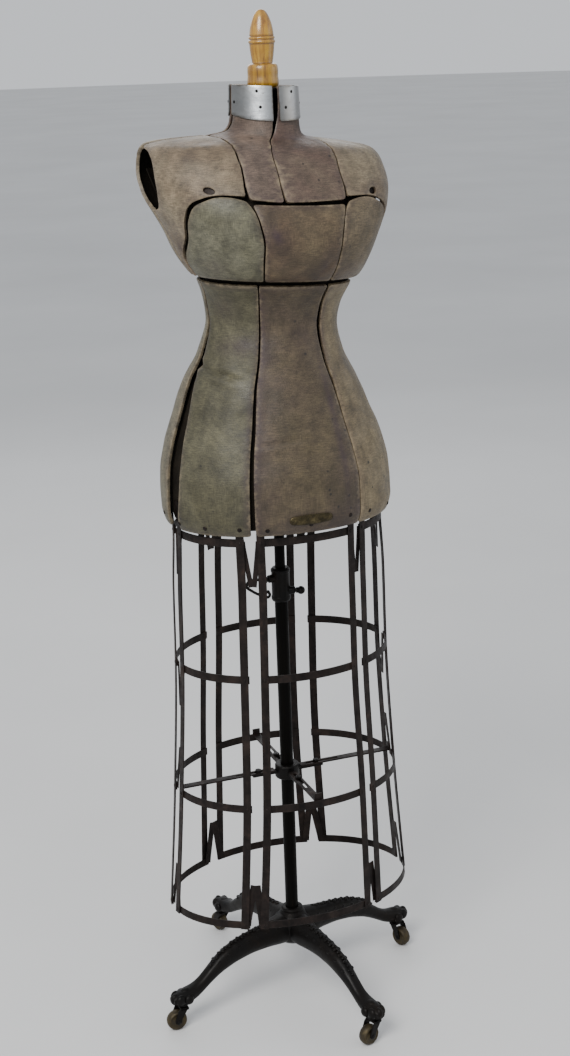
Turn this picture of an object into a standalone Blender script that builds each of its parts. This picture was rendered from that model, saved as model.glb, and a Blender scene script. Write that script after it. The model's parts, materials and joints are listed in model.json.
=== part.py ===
"""Adjustable dress form: papier-mache torso panels over a strap-iron skirt cage, on a cast base with casters.

Metres, +Z up. The origin is on the floor under the pole's axis; the torso faces -Y.
An angle on the torso or the skirt is in degrees from the front, positive towards +X.
"""

import math

import bmesh
import bpy
from mathutils import Matrix, Vector
from mathutils.geometry import delaunay_2d_cdt

GAP = 0.0004  # clearance between touching pieces

# Torso sections, hip hem to neck top:
# level, height, half width, front y, back y, y of the widest point, squareness
TORSO = (
    (0.790, 0.790, 0.1660, -0.128, 0.116, 0.004, 2.10),
    (0.820, 0.820, 0.1735, -0.137, 0.123, 0.006, 2.10),
    (0.865, 0.865, 0.1720, -0.136, 0.127, 0.010, 2.10),
    (0.910, 0.910, 0.1635, -0.127, 0.124, 0.015, 2.05),
    (0.950, 0.950, 0.1490, -0.116, 0.117, 0.018, 2.00),
    (1.000, 1.000, 0.1290, -0.101, 0.104, 0.018, 2.00),
    (1.040, 1.040, 0.1075, -0.090, 0.092, 0.012, 2.00),
    (1.085, 1.085, 0.0965, -0.082, 0.080, 0.000, 2.00),
    (1.110, 1.110, 0.1000, -0.087, 0.080, -0.005, 2.00),
    (1.143, 1.143, 0.1120, -0.105, 0.085, -0.018, 2.05),
    (1.151, 1.151, 0.1200, -0.116, 0.088, -0.018, 2.10),
    (1.180, 1.180, 0.1380, -0.137, 0.096, -0.008, 2.20),
    (1.210, 1.210, 0.1500, -0.147, 0.104, 0.000, 2.35),
    (1.235, 1.235, 0.1620, -0.143, 0.110, 0.008, 2.50),
    (1.262, 1.262, 0.1740, -0.130, 0.116, 0.024, 2.70),
    (1.285, 1.285, 0.1775, -0.115, 0.118, 0.033, 2.85),
    (1.315, 1.312, 0.1730, -0.096, 0.115, 0.038, 2.85),
    (1.340, 1.328, 0.1630, -0.080, 0.108, 0.040, 2.60),
    (1.370, 1.334, 0.1400, -0.070, 0.096, 0.040, 2.20),
    (1.405, 1.338, 0.1080, -0.062, 0.082, 0.038, 2.00),
    (1.440, 1.342, 0.0700, -0.056, 0.067, 0.034, 2.00),
    (1.458, 1.348, 0.0545, -0.052, 0.056, 0.014, 2.00),
    (1.472, 1.359, 0.0495, -0.049, 0.050, 0.003, 2.00),
    (1.486, 1.373, 0.0480, -0.0475, 0.048, 0.000, 2.00),
    (1.524, 1.411, 0.0465, -0.0460, 0.046, 0.000, 2.00),
)
# Skirt cage sections, same columns, from the hem up to inside the hip panels
SKIRT = (
    (0.160, 0.160, 0.1960, -0.1290, 0.1435, 0.007, 2.00),
    (0.375, 0.375, 0.1785, -0.1355, 0.1470, 0.006, 2.00),
    (0.577, 0.577, 0.1675, -0.1255, 0.1330, 0.004, 2.00),
    (0.700, 0.700, 0.1650, -0.1250, 0.1250, 0.003, 2.00),
    (0.795, 0.795, 0.1605, -0.1220, 0.1100, 0.004, 2.10),
    (0.860, 0.860, 0.1640, -0.1280, 0.1190, 0.008, 2.10),
)
# The torso hangs slightly askew, more so from the hips up to the bust: height lost per metre towards +X
LEAN = 0.060
LEAN_START = 0.83
LEAN_FULL = 1.13

SHELL = 0.005  # panel wall
ANGLE_SCALE = 0.13  # metres of arc per radian, used to space points on a patch
HIP_FACETS = 0.026
UPPER_FACETS = 0.021
NECK_FACETS = 0.0165

HIP_BOTTOM = 0.797
HIP_TOP = 1.143
BUST_BOTTOM = 1.151
FRONT_SEAM = 27.5
SIDE_SEAM = 90.0
BACK_SEAM = 152.5
SEAM_LEVELS = (HIP_BOTTOM, 0.880, 0.950, 1.020, 1.085, HIP_TOP)
# Gap width along each hip seam at SEAM_LEVELS
HIP_SEAMS = {
    -BACK_SEAM: (0.005, 0.006, 0.006, 0.006, 0.004, 0.002),
    -SIDE_SEAM: (0.027, 0.034, 0.026, 0.016, 0.007, 0.003),
    -FRONT_SEAM: (0.007, 0.006, 0.005, 0.003, 0.002, 0.0015),
    FRONT_SEAM: (0.0015, 0.0015, 0.002, 0.005, 0.007, 0.004),
    SIDE_SEAM: (0.005, 0.007, 0.009, 0.010, 0.007, 0.003),
    BACK_SEAM: (0.005, 0.006, 0.006, 0.006, 0.004, 0.002),
}
# The gap under the -X arm is sprung open, and its middle strays this many degrees to the front
SPRUNG_SEAM = -SIDE_SEAM
SPRUNG_DRIFT = (9.0, 12.0, 12.0, 8.0, 2.0, 0.0)
HIP_PANELS = {
    "hip_front": (-FRONT_SEAM, FRONT_SEAM),
    "hip_front_left": (FRONT_SEAM, SIDE_SEAM),
    "hip_back_left": (SIDE_SEAM, BACK_SEAM),
    "hip_back": (BACK_SEAM, 360.0 - BACK_SEAM),
    "hip_back_right": (-BACK_SEAM, -SIDE_SEAM),
    "hip_front_right": (-SIDE_SEAM, -FRONT_SEAM),
}

YOKE_X = 0.0715  # the seam between neck and shoulder panels runs up at this x
YOKE_GAP = 0.0024
YOKE_FOOT = 1.2610
RIDGE_LEVEL = 1.4385  # where that seam crosses the top of the shoulder
YOKE_LEVELS = (1.290, 1.320, 1.350, 1.380, 1.405, 1.425)
# Centre seam of the front neck panels, which bends towards -X: level, x, half gap
NECK_SEAM = (
    (1.524, 0.000, 0.0040),
    (1.486, -0.001, 0.0037),
    (1.470, -0.004, 0.0022),
    (1.450, -0.009, 0.0012),
    (1.405, -0.015, 0.0009),
    (1.350, -0.019, 0.0008),
    (1.310, -0.022, 0.0008),
    (1.285, -0.022, 0.0010),
    (YOKE_FOOT, -0.021, 0.0020),
)
ARMHOLE = (92.0, 1.285, 18.0, 0.046)  # centre angle and level, half sizes in degrees and metres
UNDERARM = 92.0  # side seam below the armhole
SLOT = (35.5, 1.2745, 3.4, 0.0046)  # adjustment slot in each front shoulder panel
PLATE = (7.6, 0.819, 2.4, 0.006)  # name plate: angle of its round ends, height, their half sizes

NECK_TOP = 1.524
COLLAR_FRONT = 1.477
COLLAR_SIDE = 1.484
COLLAR_WALL = 0.0010
COLLAR_FACETS = 0.020

STRAP = 0.012
STRAP_WALL = 0.0018
HEM_Z = 0.182
LOWER_HOOP_Z = 0.375
MIDDLE_HOOP_Z = 0.577
TOP_HOOP_Z = 0.785
UPRIGHT_TOP = 0.835
UPRIGHT_OFFSET = 0.0165  # upright's centre line from the seam's line
LINK_DEPTH = 0.058
LINK_STRAP = 0.0085
HOOP_FACETS = 5  # quads along a hoop between two seams
SEAM_ANGLES = (-BACK_SEAM, -SIDE_SEAM, -FRONT_SEAM, FRONT_SEAM, SIDE_SEAM, BACK_SEAM)

POLE_RADIUS = 0.0100
POLE_WALL = 0.0016
POLE_TOP = 0.700
MAST_RADIUS = 0.0078
MAST_BOTTOM = 0.400
MAST_TOP = 1.3870
NECK_PLATE_TOP = 1.4080
NECK_PLATE_RADIUS = 0.0380

SCREW_WAY = (math.sin(math.radians(-80.0)), -math.cos(math.radians(-80.0)), 0.0)
SCREW_Z = 0.693
KNOB_WAY = (math.sin(math.radians(62.0)), -math.cos(math.radians(62.0)), 0.0)
KNOB_Z = 0.672
SCREW_TIP = POLE_RADIUS + 0.0008
BOSS_START = 0.0130  # distance from the axis at which a screw's boss starts

SPIDER_TOP = LOWER_HOOP_Z + 0.004
ARM_WALL = 0.0024
ARM_WIDTH = 0.012
ARM_SLOT = 0.0050

LEG_TURN = 14.0  # the base is turned this far from the torso's front
# Leg stations: distance from the axis, centre height, half width, half height
LEG = (
    (0.008, 0.1120, 0.0150, 0.0200),
    (0.028, 0.1080, 0.0145, 0.0185),
    (0.052, 0.1060, 0.0130, 0.0175),
    (0.082, 0.1040, 0.0125, 0.0170),
    (0.112, 0.0985, 0.0120, 0.0165),
    (0.140, 0.0885, 0.0115, 0.0150),
    (0.162, 0.0735, 0.0105, 0.0125),
    (0.180, 0.0600, 0.0105, 0.0110),
    (0.194, 0.0545, 0.0135, 0.0115),
    (0.208, 0.0535, 0.0160, 0.0125),
    (0.221, 0.0525, 0.0150, 0.0110),
    (0.229, 0.0520, 0.0095, 0.0070),
)
LEG_SIDES = 8
FOOT_RADIUS = 0.2110
FOOT_Z = 0.0405  # underside of the foot pad that takes the caster's stem
WHEEL_RADIUS = 0.016
WHEEL_WIDTH = 0.015
WHEEL_TRAIL = 0.011
AXLE_RADIUS = 0.0022
TRAIL_HEADINGS = (290.0, 20.0, 200.0, 272.0)  # the way each caster trails, from the front

COLOURS = {
    "papier_mache": ((0.150, 0.130, 0.098), 0.75, 0.0),
    "collar_metal": ((0.62, 0.61, 0.59), 0.32, 1.0),
    "turned_wood": ((0.42, 0.20, 0.055), 0.35, 0.0),
    "strap_iron": ((0.030, 0.021, 0.018), 0.60, 0.8),
    "black_iron": ((0.014, 0.013, 0.013), 0.38, 0.6),
    "tube_steel": ((0.018, 0.018, 0.019), 0.40, 0.8),
    "caster_brass": ((0.150, 0.115, 0.065), 0.50, 0.9),
    "plate_brass": ((0.105, 0.105, 0.045), 0.50, 0.8),
}

# ---------------------------------------------------------------- scene and materials


def clear_scene():
    for obj in list(bpy.data.objects):
        bpy.data.objects.remove(obj, do_unlink=True)


def collection(name, helper=False):
    made = bpy.data.collections.new(name)
    bpy.context.scene.collection.children.link(made)
    made.hide_render = helper
    return made


def material(name, piece):
    colour, roughness, metallic = COLOURS[name]
    made = bpy.data.materials.new(f"{piece}_{name}")
    made.use_nodes = True
    shader = made.node_tree.nodes["Principled BSDF"]
    shader.inputs["Base Color"].default_value = (*colour, 1.0)
    shader.inputs["Roughness"].default_value = roughness
    shader.inputs["Metallic"].default_value = metallic
    made.diffuse_color = (*colour, 1.0)
    return made


def place(mesh_or_bmesh, name, finish, origin=(0.0, 0.0, 0.0), smooth=True):
    """Puts a mesh, given in world coordinates, into the model with its origin at a chosen point."""
    if isinstance(mesh_or_bmesh, bmesh.types.BMesh):
        mesh = bpy.data.meshes.new(name)
        mesh_or_bmesh.to_mesh(mesh)
        mesh_or_bmesh.free()
    else:
        mesh = mesh_or_bmesh
    mesh.transform(Matrix.Translation(-Vector(origin)))
    if smooth:
        mesh.shade_smooth()
        mesh.set_sharp_from_angle(angle=math.radians(35.0))
    obj = bpy.data.objects.new(name, mesh)
    obj.location = origin
    obj.data.materials.clear()
    obj.data.materials.append(material(finish, name))
    PARTS.objects.link(obj)
    return obj


# ---------------------------------------------------------------- the torso and skirt surfaces


def smooth_row(table, level):
    """The table's columns at a level, by a cubic that keeps each column between its neighbouring rows."""
    level = min(max(level, table[0][0]), table[-1][0])
    low = max(k for k in range(len(table) - 1) if table[k][0] <= level + 1e-12)
    span = table[low + 1][0] - table[low][0]
    t = (level - table[low][0]) / span
    row = []
    for column in range(1, len(table[0])):
        start, end = slope(table, low, column), slope(table, low + 1, column)
        value = (2 * t**3 - 3 * t**2 + 1) * table[low][column]
        value += (t**3 - 2 * t**2 + t) * span * start
        value += (3 * t**2 - 2 * t**3) * table[low + 1][column]
        value += (t**3 - t**2) * span * end
        row.append(value)
    return row


def slope(table, at, column):
    def secant(k):
        return (table[k + 1][column] - table[k][column]) / (table[k + 1][0] - table[k][0])

    if at == 0 or at == len(table) - 1:
        return secant(min(at, len(table) - 2))
    before, after = secant(at - 1), secant(at)
    return 2 * before * after / (before + after) if before * after > 0 else 0.0


def skin(table, angle, level):
    """Point on a surface whose horizontal sections are superellipses with unlike fronts and backs."""
    height, half_width, front, back, middle, square = smooth_row(table, level)
    s, c = math.sin(math.radians(angle)), math.cos(math.radians(angle))
    depth = middle - front if c > 0 else back - middle
    x = half_width * math.copysign(abs(s) ** (2 / square), s)
    y = middle - depth * math.copysign(abs(c) ** (2 / square), c)
    rise = min(max((height - LEAN_START) / (LEAN_FULL - LEAN_START), 0.0), 1.0)
    return Vector((x, y, height - LEAN * x * rise * rise * (3 - 2 * rise)))


def skin_normal(table, angle, level):
    across = skin(table, angle + 0.5, level) - skin(table, angle - 0.5, level)
    upward = skin(table, angle, level + 0.001) - skin(table, angle, level - 0.001)
    return across.cross(upward).normalized()


def raised(table, angle, level, height):
    return skin(table, angle, level) + skin_normal(table, angle, level) * height


def degrees_of(table, angle, level, distance):
    """Degrees that cover a horizontal distance along the surface."""
    step = (skin(table, angle + 0.5, level) - skin(table, angle - 0.5, level)).length
    return distance / step


def angle_at_x(level, x, behind=False):
    _, half_width, _, _, _, square = smooth_row(TORSO, level)
    found = math.degrees(math.asin(min(1.0, (abs(x) / half_width) ** (square / 2))))
    found = math.copysign(found, x)
    return 180.0 - found if behind else found


def lerp_list(xs, ys, x):
    for k in range(len(xs) - 1):
        if x <= xs[k + 1]:
            t = (x - xs[k]) / (xs[k + 1] - xs[k])
            return ys[k] + t * (ys[k + 1] - ys[k])
    return ys[-1]


# ---------------------------------------------------------------- patches cut from a surface


def flat(point):
    return Vector((math.radians(point[0]) * ANGLE_SCALE, point[1]))


def unflat(point):
    return math.degrees(point[0] / ANGLE_SCALE), point[1]


def spaced(outline, step):
    """The closed outline with points added so that no edge is longer than step."""
    points = [flat(p) for p in outline]
    made = []
    for k, start in enumerate(points):
        end = points[(k + 1) % len(points)]
        count = max(1, math.ceil((end - start).length / step))
        made += [start.lerp(end, i / count) for i in range(count)]
    return made


def inside(point, loop):
    hit = False
    for k, a in enumerate(loop):
        b = loop[k - 1]
        if (a.y > point.y) != (b.y > point.y):
            if point.x < (b.x - a.x) * (point.y - a.y) / (b.y - a.y) + a.x:
                hit = not hit
    return hit


def clearance(point, loop):
    best = 1e9
    for k, a in enumerate(loop):
        edge = loop[k - 1] - a
        t = min(1.0, max(0.0, (point - a).dot(edge) / max(edge.length_squared, 1e-12)))
        best = min(best, (a + edge * t - point).length)
    return best


def patch(outline, step, surface, holes=()):
    """Open triangle mesh that fills an outline given as (angle, level), on the surface."""
    loops = [spaced(outline, step)] + [spaced(hole, step * 0.5) for hole in holes]
    points = [p for loop in loops for p in loop]
    edges = []
    start = 0
    for loop in loops:
        edges += [(start + k, start + (k + 1) % len(loop)) for k in range(len(loop))]
        start += len(loop)
    low_x, high_x = min(p.x for p in points), max(p.x for p in points)
    low_y, high_y = min(p.y for p in points), max(p.y for p in points)
    rows = max(1, round((high_y - low_y) / (step * 0.87)))
    columns = max(1, round((high_x - low_x) / step))
    for j in range(1, rows):
        for i in range(columns + 1):
            x = low_x + (i + 0.5 * (j % 2)) * (high_x - low_x) / columns
            p = Vector((x, low_y + j * (high_y - low_y) / rows))
            clear = all(clearance(p, loop) > 0.55 * step for loop in loops)
            if clear and inside(p, loops[0]) and not any(inside(p, loop) for loop in loops[1:]):
                points.append(p)
    return filled(points, edges, loops, surface)


def filled(points, edges, loops, surface):
    """Triangles between the points, kept where they lie inside the first loop and outside the others."""
    found = delaunay_2d_cdt(points, edges, [], 2, 1e-7)
    shape = bmesh.new()
    corners = [shape.verts.new(surface(*unflat(p))) for p in found[0]]
    for face in found[2]:
        centre = sum((found[0][k] for k in face), Vector((0.0, 0.0))) / len(face)
        if inside(centre, loops[0]) and not any(inside(centre, loop) for loop in loops[1:]):
            shape.faces.new([corners[k] for k in face])
    bmesh.ops.delete(shape, geom=[v for v in shape.verts if not v.link_faces], context="VERTS")
    return shape


def thicken(obj, wall, outward=False):
    solid = obj.modifiers.new("wall", "SOLIDIFY")
    solid.thickness = wall
    solid.offset = 1.0 if outward else -1.0
    solid.use_even_offset = True
    solid.use_quality_normals = True
    return obj


def torso_panel(name, outline, step=UPPER_FACETS, holes=(), flip=False):
    """A papier-mache panel; flip makes the mirror-image one for the -X side."""
    if flip:
        outline = [(-angle, level) for angle, level in outline]
        holes = [[(-angle, level) for angle, level in hole] for hole in holes]
    shape = patch(outline, step, lambda angle, level: skin(TORSO, angle, level), holes)
    return thicken(place(shape, name, "papier_mache"), SHELL)


def oval(centre_angle, centre_level, half_angle, half_level, count, start=0.0, sweep=360.0):
    """Points on an oval; 0 degrees is its +angle end and 90 degrees its top."""
    made = []
    closed = abs(sweep) >= 360.0
    for k in range(count):
        turn = math.radians(start + sweep * k / (count if closed else count - 1))
        x = centre_angle + half_angle * math.cos(turn)
        made.append((x, centre_level + half_level * math.sin(turn)))
    return made


def yoke_seam(offset, behind, levels=YOKE_LEVELS):
    return [(angle_at_x(level, YOKE_X + offset, behind), level) for level in levels]


# ---------------------------------------------------------------- torso panels


def neck_centre_edge(behind, bend):
    """Edge of a neck panel at the centre seam, top to bottom; bend 1 or -1 says which way the seam strays."""
    edge = []
    for level, x, half_gap in NECK_SEAM:
        offset = 0.0 if behind else bend * x
        edge.append((angle_at_x(level, offset + half_gap, behind), level))
    return edge


def neck_outline(behind, bend=1.0):
    """Neck panel on the +X side, from the chest or back yoke up to the neck's top."""
    mirror = 180.0 if behind else 0.0
    sign = -1.0 if behind else 1.0
    low = YOKE_FOOT + 0.004
    corner = (angle_at_x(low, YOKE_X - YOKE_GAP, behind), low)
    seam = yoke_seam(-YOKE_GAP / 2, behind)
    side = [(88.0, RIDGE_LEVEL), (86.8, 1.455), (85.4, 1.472), (84.0, NECK_TOP)]
    side = [(mirror + sign * angle, level) for angle, level in side]
    return neck_centre_edge(behind, bend) + [corner] + seam + side


def armhole_edge(behind):
    if behind:
        return oval(*ARMHOLE, 9, start=84.0, sweep=-170.0)
    return oval(*ARMHOLE, 9, start=96.0, sweep=170.0)


def shoulder_front_outline():
    bust_gap = [(85.0, BUST_BOTTOM), (86.6, 1.161), (85.0, 1.174), (80.6, 1.187), (73.0, 1.204)]
    bust_gap += [(63.2, 1.2340), (52.0, 1.2550)]
    bust_top = [(42.0, 1.2640), (33.0, 1.2690), (25.0, 1.2695)]
    corner = [(angle_at_x(1.2690, YOKE_X + YOKE_GAP), 1.2690)]
    seam = yoke_seam(YOKE_GAP / 2, False)
    ridge = [(88.5, RIDGE_LEVEL - 0.003), (88.5, 1.400), (88.5, 1.360)]
    front = UNDERARM - 0.9
    side = [(front, 1.230), (front, 1.190), (front, BUST_BOTTOM)]
    return bust_gap + bust_top + corner + seam + ridge + armhole_edge(False) + side


def shoulder_back_outline():
    bottom = [(UNDERARM + 0.9, BUST_BOTTOM), (178.4, BUST_BOTTOM)]
    yoke_foot = [(178.6, 1.2550), (angle_at_x(1.2600, YOKE_X + YOKE_GAP, True), 1.2590)]
    seam = yoke_seam(YOKE_GAP / 2, True)
    ridge = [(91.5, RIDGE_LEVEL - 0.003), (91.5, 1.400), (91.5, 1.360)]
    side = [(UNDERARM + 0.9, 1.230), (UNDERARM + 0.9, 1.190)]
    return bottom + yoke_foot + seam + ridge + armhole_edge(True) + side


def bust_cup_outline():
    inner = [(23.6, BUST_BOTTOM), (22.4, 1.175), (20.4, 1.200), (18.8, 1.225), (17.8, 1.250)]
    top = [(18.6, 1.2600), (25.0, 1.2645), (33.0, 1.2635), (41.0, 1.2580)]
    outer = [(50.0, 1.2490), (60.0, 1.2295), (69.5, 1.1980), (77.0, 1.1805), (81.0, 1.1700)]
    return inner + top + outer + [(82.4, 1.160), (80.6, BUST_BOTTOM)]


def bust_centre_outline():
    edge = [(21.4, BUST_BOTTOM), (20.2, 1.175), (18.2, 1.200), (16.6, 1.225), (15.6, 1.2520)]
    mirrored = [(-angle, level) for angle, level in reversed(edge)]
    return edge + [(0.0, 1.2535)] + mirrored


def hip_outline(left_seam, right_seam):
    """Hip panel between two seams, each edge drawn back by half its gap."""
    left = []
    right = []
    for level in SEAM_LEVELS:
        for seam, side, edge in ((left_seam, 1.0, left), (right_seam, -1.0, right)):
            widths = HIP_SEAMS[seam if seam <= 180.0 else seam - 360.0]
            half_gap = lerp_list(SEAM_LEVELS, widths, level) / 2
            drift = lerp_list(SEAM_LEVELS, SPRUNG_DRIFT, level) if seam == SPRUNG_SEAM else 0.0
            middle = seam + drift
            edge.append((middle + side * degrees_of(TORSO, middle, level, half_gap), level))
    return right + left[::-1]


def build_torso():
    for side, flip in (("left", False), ("right", True)):
        bend = -1.0 if flip else 1.0
        torso_panel(f"neck_front_{side}", neck_outline(False, bend), NECK_FACETS, flip=flip)
        torso_panel(f"neck_back_{side}", neck_outline(True), NECK_FACETS, flip=flip)
        slot = oval(*SLOT, 10)
        torso_panel(f"shoulder_front_{side}", shoulder_front_outline(), holes=(slot,), flip=flip)
        torso_panel(f"shoulder_back_{side}", shoulder_back_outline(), flip=flip)
        torso_panel(f"bust_{side}", bust_cup_outline(), flip=flip)
    torso_panel("bust_center", bust_centre_outline())
    for name, (left_seam, right_seam) in HIP_PANELS.items():
        torso_panel(name, hip_outline(left_seam, right_seam), HIP_FACETS)


def build_collar():
    """Sheet-metal band round each neck quarter, deeper at the centre than at the side."""
    for front in (True, False):
        for side in ("left", "right"):
            outline = [(5.6, COLLAR_FRONT), (45.0, COLLAR_FRONT + 0.002), (84.6, COLLAR_SIDE)]
            outline += [(84.6, NECK_TOP), (45.0, NECK_TOP), (5.6, NECK_TOP)]
            if not front:
                outline = [(180.0 - angle, level) for angle, level in outline]
            if side == "right":
                outline = [(-angle, level) for angle, level in outline]
            shape = patch(outline, COLLAR_FACETS, lambda a, v: raised(TORSO, a, v, 0.0014))
            name = f"collar_{'front' if front else 'back'}_{side}"
            thicken(place(shape, name, "collar_metal"), COLLAR_WALL, outward=True)


def build_name_plate():
    end, *sizes = PLATE
    outline = oval(-end, *sizes, 5, start=90.0, sweep=180.0)
    outline += oval(end, *sizes, 5, start=-90.0, sweep=180.0)
    shape = patch(outline, 0.012, lambda a, v: raised(TORSO, a, v, 0.0008))
    thicken(place(shape, "name_plate", "plate_brass"), 0.0012, outward=True)


# ---------------------------------------------------------------- skirt cage


def cage_point(angle, level):
    return skin(SKIRT, angle, level)


def upright_angle(seam, side, level):
    return seam + side * degrees_of(SKIRT, seam, level, UPRIGHT_OFFSET)


def frame_outline(left_seam, right_seam):
    """Two uprights joined by two cross straps: the outer outline and the one closed window."""
    half = STRAP / 2
    bars = (LOWER_HOOP_Z, MIDDLE_HOOP_Z)

    def edge(seam, side, level, outer):
        centre = upright_angle(seam, side, level)
        way = -side if outer else side
        return centre + way * degrees_of(SKIRT, seam, level, half), level

    hem = HEM_Z + STRAP / 2 + 0.0005
    levels = (hem, 0.27, bars[0], 0.47, bars[1], 0.69, TOP_HOOP_Z, UPRIGHT_TOP)
    right = [edge(right_seam, -1.0, level, True) for level in levels]
    left = [edge(left_seam, 1.0, level, True) for level in reversed(levels)]
    top = []
    for level in (UPRIGHT_TOP, TOP_HOOP_Z, 0.69, bars[1] + half):
        top.append(edge(right_seam, -1.0, level, False))
    for level in (bars[1] + half, 0.69, TOP_HOOP_Z, UPRIGHT_TOP):
        top.append(edge(left_seam, 1.0, level, False))
    bottom = []
    for level in (hem, 0.27, bars[0] - half):
        bottom.append(edge(left_seam, 1.0, level, False))
    for level in (bars[0] - half, 0.27, hem):
        bottom.append(edge(right_seam, -1.0, level, False))
    window = []
    for level in (bars[0] + half, 0.47, bars[1] - half):
        window.append(edge(right_seam, -1.0, level, False))
    for level in (bars[1] - half, 0.47, bars[0] + half):
        window.append(edge(left_seam, 1.0, level, False))
    return right + top + left + bottom, window


def build_frames():
    for name, seams in HIP_PANELS.items():
        outline, window = frame_outline(*seams)
        shape = strap_patch(outline, window)
        frame = place(shape, name.replace("hip", "skirt_frame"), "strap_iron")
        thicken(frame, STRAP_WALL)


def strap_patch(outline, window):
    """Straps as a patch with points along their edges only."""
    step = 0.045
    loops = [spaced(outline, step), spaced(window, step)]
    points = loops[0] + loops[1]
    first = len(loops[0])
    edges = [(k, (k + 1) % first) for k in range(first)]
    edges += [(first + k, first + (k + 1) % len(loops[1])) for k in range(len(loops[1]))]
    return filled(points, edges, loops, cage_point)


def strip(stations, closed):
    """Band of quads between pairs of (angle, level) points on the skirt surface."""
    shape = bmesh.new()
    pairs = []
    for upper, lower in stations:
        pairs.append((shape.verts.new(cage_point(*upper)), shape.verts.new(cage_point(*lower))))
    count = len(pairs) if closed else len(pairs) - 1
    for k in range(count):
        a, b = pairs[k], pairs[(k + 1) % len(pairs)]
        shape.faces.new((a[1], b[1], b[0], a[0]))
    return shape


def link_stations(seam, level, width, way):
    """Stations of a V between two uprights; way is -1 if it points down and 1 if it points up."""

    def turned(distance):
        return seam + degrees_of(SKIRT, seam, level, distance)

    reach = UPRIGHT_OFFSET - STRAP / 2 - 0.0004
    far = level + way * LINK_DEPTH
    near = level - way * width / 2
    crotch = far - way * 0.022
    shoulder = level + way * width / 2
    made = []
    for side in (-1.0, 1.0):
        tip = (turned(side * 0.0025), far)
        fork = (turned(side * 0.0008), crotch - way * 0.010)
        top_inner = (turned(side * (reach - LINK_STRAP)), near)
        top_outer = (turned(side * reach), shoulder)
        pair = [(top_inner, top_outer), (fork, tip)]
        made += pair if side < 0 else pair[::-1]
    if way > 0:
        made = [(outer, inner) for inner, outer in made]
    return made


def hoop_stations(level, way):
    """The whole strap hoop at one level, with a V at every seam."""
    half = STRAP / 2
    made = []
    seams = list(SEAM_ANGLES)
    for k, seam in enumerate(seams):
        made += link_stations(seam, level, STRAP, way)
        after = seams[(k + 1) % len(seams)] + (360.0 if k == len(seams) - 1 else 0.0)
        margin = degrees_of(SKIRT, seam, level, UPRIGHT_OFFSET + STRAP)
        for i in range(HOOP_FACETS + 1):
            angle = seam + margin + (after - seam - 2 * margin) * i / HOOP_FACETS
            made.append(((angle, level + half), (angle, level - half)))
    return made


def build_hoops():
    for name, level, way in (("top_hoop", TOP_HOOP_Z, -1.0), ("hem_hoop", HEM_Z, 1.0)):
        shape = strip(hoop_stations(level, way), closed=True)
        hoop = place(shape, name, "strap_iron")
        thicken(hoop, STRAP_WALL)
        shift_inward(hoop, level)


def shift_inward(obj, level):
    """Lays a hoop against the inner face of the uprights."""
    middle = smooth_row(SKIRT, level)[4]
    for vertex in obj.data.vertices:
        outward = Vector((vertex.co.x, vertex.co.y - middle, 0.0)).normalized()
        vertex.co -= outward * (STRAP_WALL + GAP)


def build_links():
    for side, seam in (("left", SIDE_SEAM), ("right", -SIDE_SEAM)):
        for name, level, way in (("middle", MIDDLE_HOOP_Z, -1.0), ("lower", LOWER_HOOP_Z, 1.0)):
            shape = strip(link_stations(seam, level, STRAP, way), closed=False)
            thicken(place(shape, f"{name}_link_{side}", "strap_iron"), STRAP_WALL)


# ---------------------------------------------------------------- turned and boxed pieces


def turned(profile, name, finish, at=(0.0, 0.0, 0.0), steps=24):
    """A shape turned about a vertical axis. The profile runs top to bottom as (radius, height)."""
    shape = bmesh.new()
    corners = [shape.verts.new((r, 0.0, z)) for r, z in profile]
    for k in range(len(corners) - 1):
        shape.edges.new((corners[k], corners[k + 1]))
    if profile[0][0] > 0 and profile[-1][0] > 0:
        shape.edges.new((corners[-1], corners[0]))
    mesh = bpy.data.meshes.new(name)
    shape.to_mesh(mesh)
    shape.free()
    obj = bpy.data.objects.new(name, mesh)
    obj.location = at
    obj.data.materials.append(material(finish, name))
    PARTS.objects.link(obj)
    screw = obj.modifiers.new("turning", "SCREW")
    screw.steps = steps
    screw.render_steps = steps
    screw.use_merge_vertices = True
    screw.merge_threshold = 0.00005
    screw.use_smooth_shade = True
    return obj


def box_mesh(low, high):
    shape = bmesh.new()
    bmesh.ops.create_cube(shape, size=1.0)
    size = Vector(high) - Vector(low)
    centre = (Vector(high) + Vector(low)) / 2
    bmesh.ops.transform(shape, matrix=Matrix.LocRotScale(centre, None, size), verts=shape.verts)
    return shape


def prism(outline, low, high):
    """An outline in the YZ plane, extruded along X."""
    shape = bmesh.new()
    ends = [[shape.verts.new((x, y, z)) for y, z in outline] for x in (low, high)]
    shape.faces.new(ends[0])
    shape.faces.new(ends[1][::-1])
    for k in range(len(outline)):
        after = (k + 1) % len(outline)
        shape.faces.new((ends[0][k], ends[1][k], ends[1][after], ends[0][after]))
    bmesh.ops.recalc_face_normals(shape, faces=shape.faces)
    return shape


def cylinder_mesh(radius, depth, centre, direction=(0.0, 0.0, 1.0), sides=20, top=None):
    shape = bmesh.new()
    turn = Vector((0.0, 0.0, 1.0)).rotation_difference(Vector(direction)).to_matrix().to_4x4()
    bmesh.ops.create_cone(
        shape,
        cap_ends=True,
        segments=sides,
        radius1=radius,
        radius2=radius if top is None else top,
        depth=depth,
        matrix=Matrix.Translation(centre) @ turn,
    )
    return shape


def helper(shape, name, origin):
    """A hidden cutter or addition, given in world coordinates like the piece it changes."""
    mesh = bpy.data.meshes.new(name)
    shape.to_mesh(mesh)
    shape.free()
    mesh.transform(Matrix.Translation(-Vector(origin)))
    obj = bpy.data.objects.new(name, mesh)
    obj.location = origin
    obj.hide_render = True
    obj.display_type = "WIRE"
    CUTTERS.objects.link(obj)
    return obj


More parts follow.
